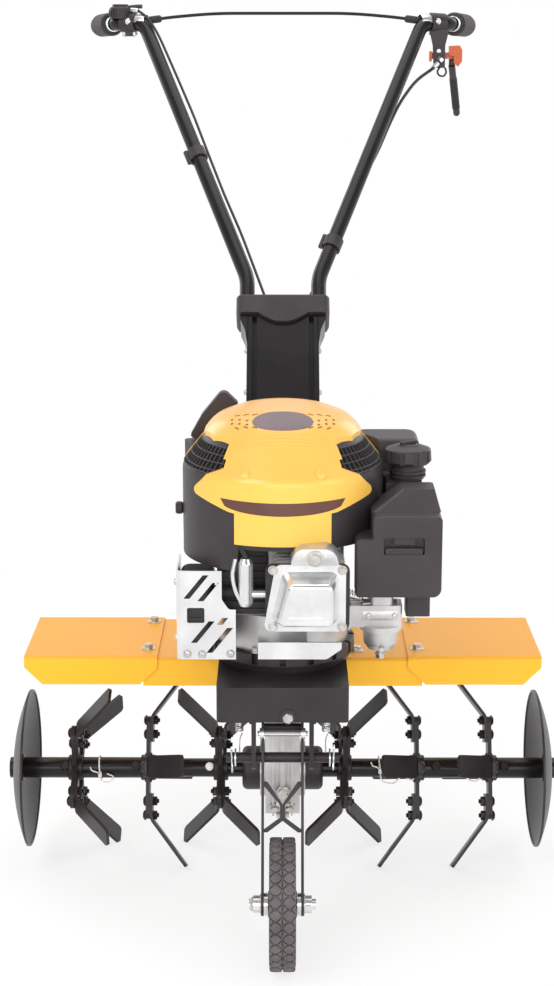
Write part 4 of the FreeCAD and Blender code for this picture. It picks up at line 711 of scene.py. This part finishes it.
def weld_bead(target, corners, radius):
    """A weld run: a lumpy bead along corners."""
    corners = [Vector(corner) for corner in corners]
    lump = bmesh.new()
    bmesh.ops.create_icosphere(lump, subdivisions=1, radius=radius)
    bmesh.ops.scale(lump, verts=lump.verts[:], vec=(1, 1, 0.8))
    for a, b in zip(corners, corners[1:]):
        count = max(1, int((b - a).length / (radius * 1.1)))
        for i in range(count):
            spot = a + (b - a) * i / count
            stamp(target, lump, seat(*spot, way=(b - a), turn=37 * i))
    lump.free()


def make_frame_bolts():
    """Bolts on washers through the frame's front, its sides, its deck and the flange."""
    form = placed(hex_bolt(11, 6), seat(6, -261.4, 287, FORWARD, 12))
    for turn in (20, 67, 113, 160, 247, 293):
        x, y = polar(78, turn)
        fit(form, hex_bolt(10, 5, washer=7), seat(x, ENGINE_Y + y, 346, turn=turn))
    for x in (-62, 62):
        for y in (34, 92):
            fit(form, hex_bolt(13, 6, washer=10), seat(x, y, DECK_Z, turn=x + y))
    for x in (-77, 77):
        way = (math.copysign(1, x), 0, 0)
        for y in (-70, 60, 140):
            fit(form, hex_bolt(10, 5, washer=8), seat(x - way[0], y, 300, way, y))
    make_piece("frame_bolts", dull_zinc, form)
    washer = turned([(0, 0), (9, 0), (9, 1), (8.4, 1.6), (0, 1.6)], 24)
    make_piece("front_washer", black_nylon, placed(washer, seat(6, -260, 287, FORWARD)))


def make_fender_bolts():
    """Bolts through the fender plates, front and back, with their nuts below."""
    form = bmesh.new()
    bolt = hex_bolt(10, 5, washer=9)
    nut = hex_bolt(10, 4, washer=8, stem=4, stem_radius=3)
    for plate, x, foot in (("left_outer", -168, 295.2), ("right_outer", 168, 295.2),
                           ("left_inner", -92, 295), ("right_inner", 92, 295)):
        for y in (-49, 64):
            stamp(form, bolt, on(f"fender_{plate}", (x, y, 400), DOWN, x))
            stamp(form, nut, seat(x, y, foot, DOWN, y))
    bolt.free()
    nut.free()
    make_piece("fender_bolts", dull_zinc, form)


def make_gear_bolts():
    """Bolts round the gear case's seam, and three plugs in its front."""
    form = bmesh.new()
    bolt = hex_bolt(8, 4, washer=6)
    for x, way in ((3, 1), (-3, -1)):
        for turn in (205, 240, 275, 310, 335):
            y, z = polar(61, turn)
            stamp(form, bolt, seat(x, y, AXLE_Z + z, (way, 0, 0), turn))
        for y, z in ((-27, 186), (-27, 226), (58, 200)):
            stamp(form, bolt, seat(x, y, z, (way, 0, 0), z))
    bolt.free()
    for x in (-10, 9):
        fit(form, hex_bolt(9, 5, washer=7), on("gearbox_case", (x, -200, 88), BACKWARD, 20))
    fit(form, hex_bolt(13, 7, washer=9), on("gearbox_case", (0.5, -200, 112), BACKWARD, 8))
    make_piece("gear_bolts", dull_zinc, form)
    seam = box((-3.4, -0.6, -40), (3.4, 0.6, 40), 0.4)
    make_piece("gear_gasket", black_rubber, placed(seam, seat(0, -31.5, 212), seat(0, 63.5, 212)))


def make_catch_bar():
    """The catch of the wheel bracket: a cross bar with a roller near each end."""
    form = placed(wire([(-29, 0, 0), (29, 0, 0)], 3.2, 10), seat(0, *CATCH))
    for x in (-24, 24):
        fit(form, turned([(0, -2.5), (6.5, -2.5), (6.5, 2.5), (0, 2.5)], 16), seat(x, *CATCH, (1, 0, 0)))
    make_piece("catch_bar", zinc_plate, form)


def make_frame_welds():
    """Weld runs at the column's foot, the hitch plates and the pivot's ears."""
    form = bmesh.new()
    half, front, back, foot = 52.5, 108, 168, DECK_Z + 1
    corners = [(-half, front, foot), (half, front, foot), (half, back, foot), (-half, back, foot)]
    weld_bead(form, corners + corners[:1], 2.2)
    for x in (-13.5, 13.5):
        weld_bead(form, [(x, 173, 283), (x, 173, 319)], 2)
    for x in (-37, 37):
        weld_bead(form, [(x, -258, 279), (x, -208, 279)], 1.8)
    make_piece("frame_welds", weld_black, form)


# ---- engine ----

CROWN_Y = ENGINE_Y - 61
ABOVE = 720
IN_FRONT = -600


def compass(degrees):
    """The level direction at an angle seen from above; 0 degrees is the front, 90 is +X."""
    return math.sin(math.radians(degrees)), -math.cos(math.radians(degrees)), 0


def around(radius, degrees, height, turn=0.0):
    """A seat looking out from the crankshaft's line at an angle."""
    way = compass(degrees)
    return seat(radius * way[0], ENGINE_Y + radius * way[1], height, way, turn)


def make_hood_plates():
    """Two bare plates on the hood: an oval on the crown and a crescent across the front."""
    def oval(u, v):
        return 35.5 * u, CROWN_Y + 19.5 * v * math.sqrt(max(0, 1 - u * u)), ABOVE

    def crescent(u, v):
        high = 538 - 1.5 * (1 - u * u)
        low = 538 - 16.5 * (1 - u * u) ** 0.32
        return 71 * u, IN_FRONT, (high + low) / 2 + v * (high - low) / 2
    make_piece("crown_plate", warm_grey_film, film("engine_hood", oval, DOWN))
    make_piece("front_plate", brown_film, film("engine_hood", crescent, BACKWARD))


def make_hood_detail():
    """Moulded dimples beside the crown plate drawn as brown marks of painted shade, fine ridges below it, and
    two raised pads.
    """
    slits = bmesh.new()
    hole = sheet([(-1.7, -1.5), (1.7, -1.5), (1.7, 1.5), (-1.7, 1.5)], 0.35, 1.3)
    dash = sheet([(-3.4, -0.8), (3.4, -0.8), (3.4, 0.8), (-3.4, 0.8)], 0.35, 0.7)
    rows = ((hole, 41, 8.7, 1.7, 4, 0.69, 0, 0), (dash, 32, 10.2, 6.7, 13, 0.43, 26, 13))
    for way in (-1, 1):
        for side in (-1, 1):
            for column in range(3):
                for shape, first, pitch, middle, half, slope, lean, spread in rows:
                    x = first + pitch * column
                    y = CROWN_Y + middle + half * side + slope * (x - 41)
                    place = on("engine_hood", (way * x, y, ABOVE), DOWN, -way * side * (lean + spread * side))
                    stamp(slits, shape, place)
    hole.free()
    dash.free()
    # The dimples are drawn as thin brown marks of painted shade.
    make_piece("hood_slit_shade", hood_shade, slits)
    ridges = bmesh.new()
    for row in range(5):
        points = []
        for x in (4.4 * i for i in range(-12, 13)):
            spot, _ = hit("engine_hood", (x, IN_FRONT, 609 - 3.4 * row - 0.0022 * x ** 2), BACKWARD)
            points.append(spot / MM)
        fit(ridges, wire(points, 0.65, 6), Matrix.Scale(MM, 4))
    for x in (-43, 43):
        fit(ridges, round_head(6.5, 3), on("engine_hood", (x, IN_FRONT, 567), BACKWARD))
    make_piece("hood_ridges", hood_plastic, ridges)


def make_vent_grilles():
    """The fan cover's intake grilles: a near-black sheet inside as painted shade, with fine slats on rays and
    rings across them.
    """
    profile = []
    for x in range(94, 118, 3):
        spot, _ = hit("blower_housing", (x, ENGINE_Y + 14, ABOVE), DOWN)
        profile.append((math.hypot(x, 14), spot.z / MM + 0.3))
    # The dark sheet is painted shade for the inside of the fan cover.
    dark = bmesh.new()
    slats = bmesh.new()
    for way in (-1, 1):
        def at(radius, height, degrees):
            x, y = polar(radius, degrees)
            return way * x, -y, height
        back = bmesh.new()
        corners = [back.verts.new(at(*corner, -2)) for corner in profile]
        for pair in zip(corners, corners[1:]):
            back.edges.new(pair)
        bmesh.ops.spin(back, geom=back.verts[:] + back.edges[:], cent=(0, 0, 0), axis=(0, 0, -way),
                       angle=math.radians(60), steps=20, use_merge=False)
        bmesh.ops.recalc_face_normals(back, faces=back.faces[:])
        bmesh.ops.solidify(back, geom=back.faces[:], thickness=0.2)
        fit(dark, back, seat(0, ENGINE_Y, 0))
        for number in range(16):
            slat = wire([at(radius, height + 0.6, -2 + 4 * number) for radius, height in profile], 0.85, 6)
            fit(slats, slat, seat(0, ENGINE_Y, 0))
        for radius, height in profile[::2] + profile[-1:]:
            ring = wire([at(radius, height + 0.6, -2 + 3 * step) for step in range(21)], 0.85, 6)
            fit(slats, ring, seat(0, ENGINE_Y, 0))
    make_piece("vent_painted_shade", painted_vent_shade, dark)
    make_piece("vent_slats", black_nylon, slats)


def make_shroud_detail():
    """Flange bolts that hold the fan cover, its small knob, and the starter's rope."""
    form = bmesh.new()
    bolt = hex_bolt(8, 4.5, washer=7.5)
    for degrees, height in ((-112, 500), (120, 496), (150, 530), (205, 496), (180, 540)):
        stamp(form, bolt, around(119, degrees, height, degrees))
    bolt.free()
    make_piece("shroud_bolts", dull_zinc, form)
    knob = turned([(0, 0), (6, 0), (7.5, 2), (7.5, 7), (6, 9), (0, 9)], 18)
    make_piece("shroud_knob", black_nylon, placed(knob, around(118, -88, 503)))
    rope = bent([(-96, -47, 556), (-100, -45, 563), (-106, -43, 571)], 1.8)
    make_piece("starter_rope", black_rubber, placed(rope, HERE))


def make_head_detail():
    """Bolts of the rocker cover, the cast lug above it with its big bolt, and a black ribbed plate beside the
    cylinder as painted shade.
    """
    form = bmesh.new()
    for x, z in ((-11, 398), (-11, 464), (67, 398), (67, 464)):
        fit(form, hex_bolt(8, 4.5, washer=5.5), seat(x, -268, z, FORWARD, x))
    fit(form, hex_bolt(13, 8, washer=9.5), seat(36, -274, 479, FORWARD, 10))
    make_piece("head_bolts", dull_zinc, form)
    lug = sheet([(8, 470.5), (64, 470.5), (60, 484), (50, 490), (20, 490), (12, 484)], 38, 4, 1.5)
    make_piece("head_lug", cast_aluminium, placed(lug, about(seat(0, -236, 0), "X", 90)))
    # Painted shade: a black ribbed plate beside the cylinder stands for the dark gap between the exhaust
    # guard and the rocker cover.
    shade_plate = placed(sheet([(-76, 392), (-17, 392), (-17, 484), (-76, 484)], 2, 5, 0.5),
                  about(seat(0, -200, 0), "X", 90))
    for z in range(398, 480, 9):
        fit(shade_plate, box((-56, -1.2, -1.2), (0, 1.2, 1.2), 0.5), seat(-18, -203, z))
    make_piece("cylinder_shade_plate", black_nylon, shade_plate)


def make_block_detail():
    """Cooling fins round the block, the oil filler, bolts round the foot and the rocker cover's gasket."""
    fins = bmesh.new()
    for height in range(402, 448, 9):
        for first, last in ((100, 128), (134, 200), (206, 250)):
            points = []
            for degrees in range(first, last + 1, 6):
                x, y, _ = compass(degrees)
                spot, _ = hit("engine_block", (150 * x, ENGINE_Y + 150 * y, height), (-x, -y, 0))
                points.append(spot / MM)
            fit(fins, wire(points, 2.6, 6), Matrix.Scale(MM, 4))
    make_piece("block_fins", cast_aluminium, fins)
    neck = turned([(0, 0), (13, 0), (13, 8), (11, 10), (11, 22), (13.5, 23), (13.5, 30), (10, 33), (0, 33)],
                  20)
    filler = placed(neck, around(74, -120, 366))
    fit(filler, box((-16, -2.6, 28), (16, 2.6, 36), 2), around(74, -120, 366, 40))
    make_piece("oil_filler", black_nylon, filler)
    form = placed(hex_bolt(15, 8, washer=11), around(77, 176, 362, 12))
    for degrees in (125, 232):
        for height in (354, 384):
            fit(form, hex_bolt(10, 5, washer=7.5), around(77, degrees, height, degrees))
    make_piece("block_bolts", dull_zinc, form)
    gasket = sheet([(-19.5, 391.4), (75.5, 391.4), (75.5, 470.6), (-19.5, 470.6)], 1, 9)
    make_piece("cover_gasket", black_rubber, placed(gasket, about(seat(0, -263.2, 0), "X", 90)))


def make_plug_lead():
    """The ignition lead from the plug's sleeve up under the fan cover, and its bright clip."""
    lead = bent([(-42, -240, 466), (-43, -240, 474), (-50, -232, 484), (-62, -214, 488), (-70, -190, 490)],
                3.6, 10)
    make_piece("plug_lead", black_rubber, placed(lead, HERE))
    strap = bent([(-54, -243, 470), (-57, -245, 452), (-54, -245, 434), (-48, -243, 420)], 2.2)
    make_piece("plug_strap", zinc_plate, placed(strap, HERE))


def make_guard_detail():
    """Screws of the exhaust guard and the exhaust's folded seam."""
    form = bmesh.new()
    for x, z in ((-110, 352), (-93, 351), (-60, 352)):
        fit(form, cross_head(4, 3), on("muffler_guard", (x, -400, z), BACKWARD, x))
    for z in (366, 434):
        fit(form, cross_head(4, 3), on("muffler_guard", (-300, -210, z), (1, 0, 0), z))
    make_piece("guard_screws", dull_zinc, form)
    seam = sheet([(-21.5, -39.5), (21.5, -39.5), (21.5, 39.5), (-21.5, 39.5)], 3, 13, 1.2)
    make_piece("exhaust_seam", stove_black, placed(seam, seat(-100, -186, 392)))


def make_carb_detail():
    """Bowl nut, drain, two screws, throttle lever, and the governor's rods with their spring."""
    form = placed(hex_bolt(10, 6, washer=7), seat(115, -186, 341, DOWN, 14))
    fit(form, hex_bolt(6, 5), seat(115, -207, 352, FORWARD))
    for x in (100, 130):
        fit(form, cross_head(3.2, 2.6), seat(x, -201.5, 390, FORWARD, x))
    fit(form, sheet([(-4, -4), (22, -3), (22, 3), (-4, 5)], 1.6, 1.5), seat(112, -190, 403, turn=200))
    for points in ([(94, -196, 406), (70, -200, 408), (40, -196, 418), (4, -188, 420), (-20, -176, 424)],
                   [(90, -190, 406), (66, -186, 412), (30, -182, 428), (-8, -174, 432)]):
        fit(form, bent(points, 1.1), HERE)
    fit(form, wire(helix(3.2, 0, 36, 12, 10), 0.55, 6), seat(96, -184, 408, (-1, 0.1, 0.3)))
    make_piece("carb_hardware", dull_zinc, form)


def make_fuel_line():
    """The hose from the tank's foot to the float bowl, with a wire clip at each end."""
    hose = bent([(112, -112, 456), (112, -118, 440), (108, -134, 418), (104, -152, 398), (108, -166, 384)],
                3.4, 12)
    make_piece("fuel_line", black_rubber, placed(hose, HERE))
    clips = placed(wire(helix(4, 0, 4, 3, 12), 0.6, 6),
                   seat(112, -114, 448, (0, -0.2, -1)), seat(106.5, -160, 390, (0.1, -0.6, -0.7)))
    make_piece("hose_clips", zinc_plate, clips)


def make_filter_detail():
    """Grip ribs of the lid's latch."""
    ribs = placed(box((-1, -0.8, -4), (1, 0.8, 4), 0.4), *(seat(x, -243.6, 486) for x in range(122, 153, 6)))
    make_piece("latch_ribs", black_nylon, ribs, "air_filter_lid")


def make_cap_detail():
    """A raised boss on the fuel cap with a low grip bar."""
    form = placed(turned([(0, -1), (13, -1), (13, 0.8), (11, 1.6), (0, 1.6)], 24), seat(148, -120, 575.5))
    fit(form, box((-11, -2.4, 0), (11, 2.4, 5), 1.4), seat(148, -120, 576, turn=30))
    make_piece("cap_boss", black_nylon, form)


# ---- column, handles and controls ----

DIAL = (-259, 802)
GRIP_TIP = (304, 951.73, 1063)
GRIP_BEND = (268, 806, 1065)
RUN_TOP = (222, 790, 1068)


def between(a, b, share, way):
    """A point part of the way from a to b on one side, and the direction of the run."""
    a, b = Vector((a[0] * way, a[1], a[2])), Vector((b[0] * way, b[1], b[2]))
    return a + (b - a) * share, (b - a).normalized()


def make_grips():
    """Ribs round the grey sleeves, with a black end plug and a black collar on each."""
    rib = turned([(16.8, -2.2), (18.1, -1.4), (18.4, 0), (18.1, 1.4), (16.8, 2.2), (16.8, -2.2)], 32)
    collar = turned([(11.4, -10), (16, -10), (17.5, -8), (18.6, -6.5), (18.6, -0.5), (17.2, 0.6), (11.4, 0.6),
                     (11.4, -10)], 32)
    plug = turned([(0, 0), (16.8, 0), (16.8, 1.6), (14, 3.6), (0, 4)], 32)
    ribs, collars = bmesh.new(), bmesh.new()
    for way in (-1, 1):
        tip, run = between(GRIP_BEND, GRIP_TIP, 1, way)
        for i in range(15):
            stamp(ribs, rib, seat(*(tip - run * (10 + 6.4 * i)), way=run))
        stamp(collars, collar, seat(*(tip - run * 112), way=run))
        stamp(collars, plug, seat(*tip, way=run))
    for shape in (rib, collar, plug):
        shape.free()
    make_piece("grip_ribs", grip_rubber, ribs)
    make_piece("grip_collars", black_rubber, collars)


def make_column_screws():
    """Rivet heads up the column's sides and a bolt low on each side."""
    form = bmesh.new()
    for way in (-1, 1):
        for z in (608, 556):
            front, _ = hit("column_shell", (way * 39, 0, z), BACKWARD)
            place = on("column_shell", (way * 200, (front.y - AXLE_Y) / MM + 14, z), (-way, 0, 0))
            fit(form, round_head(4.5, 4), place)
    for way in (-1, 1):
        fit(form, hex_bolt(10, 6, washer=8), on("column_shell", (way * 300, 262, 470), (-way, 0, 0), 9))
    make_piece("column_screws", dull_zinc, form)


def make_clamp_hardware():
    """Pinch bolts and bands of the two clamps, and the throttle dial's screw, ribs and lever."""
    form = bmesh.new()
    for way in (-1, 1):
        (x, y, z), _ = between(RUN_TOP, GRIP_BEND, 0.5, way)
        fit(form, hex_bolt(8, 4, washer=5), seat(x + way * 6, y, z - 17, (way, 0, 0), 11))
        fit(form, hex_bolt(8, 4, stem=3, stem_radius=2.5), seat(x - way * 6, y, z - 17, (-way, 0, 0)))
        fit(form, cross_head(3.6, 2.6), seat(x, y - 15.2, z + 2, FORWARD, 30))
    fit(form, cross_head(4, 2.4), seat(*DIAL, 1092.4, turn=25))
    make_piece("clamp_bolts", dull_zinc, form)
    bands = bmesh.new()
    band = turned([(11.05, -9), (11.9, -9), (12.3, -8), (12.3, 8), (11.9, 9), (11.05, 9), (11.05, -9)], 28)
    for way in (-1, 1):
        for start, end, share in ((RUN_TOP, GRIP_BEND, 0.06), (GRIP_BEND, GRIP_TIP, 0.12)):
            spot, run = between(start, end, share, way)
            stamp(bands, band, seat(*spot, way=run))
    band.free()
    make_piece("clamp_bands", zinc_plate, bands)
    dial = bmesh.new()
    for turn in range(0, 360, 18):
        x, y = polar(17.6, turn)
        fit(dial, box((-0.7, -1, -5), (0.7, 1, 5), 0.4), seat(DIAL[0] + x, DIAL[1] + y, 1081, turn=turn + 90))
    fit(dial, bent([(-246, 802, 1090), (-234, 801, 1091.4), (-224, 800, 1091.6)], 3.2, 10), HERE)
    make_piece("throttle_ribs", black_nylon, dial)


def make_cable_ends():
    """Crimped ferrules, the clutch cable's adjuster nut and the wire loop in the catch."""
    barrel = turned([(2.6, 0), (4, 0), (4, 12), (3.2, 14), (2.6, 14), (2.6, 0)], 14)
    ends = (seat(-241, 796, 1086, (0.9, -0.6, -0.1)), seat(246.5, 786, 1004, (-0.75, -0.3, -0.7)),
            seat(-22.5, 429, 668.6, (-0.3, 0.65, 0.72)), seat(30.5, 439.6, 659.6, (0.3, 0.6, 0.76)))
    form = placed(barrel, *ends)
    fit(form, hex_bolt(9, 6), seat(249, 786.4, 1007, (0.6, 0.2, 0.77)))
    make_piece("cable_ends", zinc_plate, form)
    loop = bent([(250, 788, 998), (246, 786.5, 991), (249, 786, 985), (256, 786.5, 984), (260, 788, 990),
                 (258, 788.5, 997)], 1.6)
    make_piece("catch_loop", powder_coat, placed(loop, HERE))


def make_lever_detail():
    """The ribs of the clutch lever's sleeve."""
    root, tip = Vector((270, 802, 1000.5)), Vector((283.6, 850, 924))
    run = (tip - root).normalized()
    rib = turned([(5.4, -0.9), (6.4, -0.5), (6.4, 0.5), (5.4, 0.9), (5.4, -0.9)], 20)
    ribs = placed(rib, *(seat(*(root + run * (26 + 4.2 * i)), way=run) for i in range(14)))
    make_piece("lever_sleeve", black_rubber, ribs)


def make_cross_sleeves():
    """Rubber sleeves where the stay meets the handles."""
    sleeve = turned([(2.6, 0), (5.7, 0), (5.9, 2), (5.9, 17), (4.4, 20), (2.6, 20), (2.6, 0)], 18)
    pair = placed(sleeve, *(seat(way * 213, 790, 1070.3, (-way, 0, 0.13)) for way in (-1, 1)))
    make_piece("stay_sleeves", black_rubber, pair)


for make in (make_tine_bolts, make_hub_welds, make_shaft_pins, make_shipping_ties, make_disc_rims,
             make_tyre, make_axle_nuts, make_rod_clips, make_frame_springs, make_frame_bolts,
             make_fender_bolts, make_gear_bolts, make_catch_bar, make_frame_welds, make_hood_plates,
             make_hood_detail, make_vent_grilles, make_shroud_detail, make_head_detail, make_block_detail,
             make_plug_lead, make_guard_detail, make_carb_detail, make_fuel_line, make_filter_detail,
             make_cap_detail, make_grips, make_column_screws, make_clamp_hardware, make_cable_ends,
             make_lever_detail, make_cross_sleeves):
    make()

bpy.context.scene.view_settings.view_transform = "Standard"
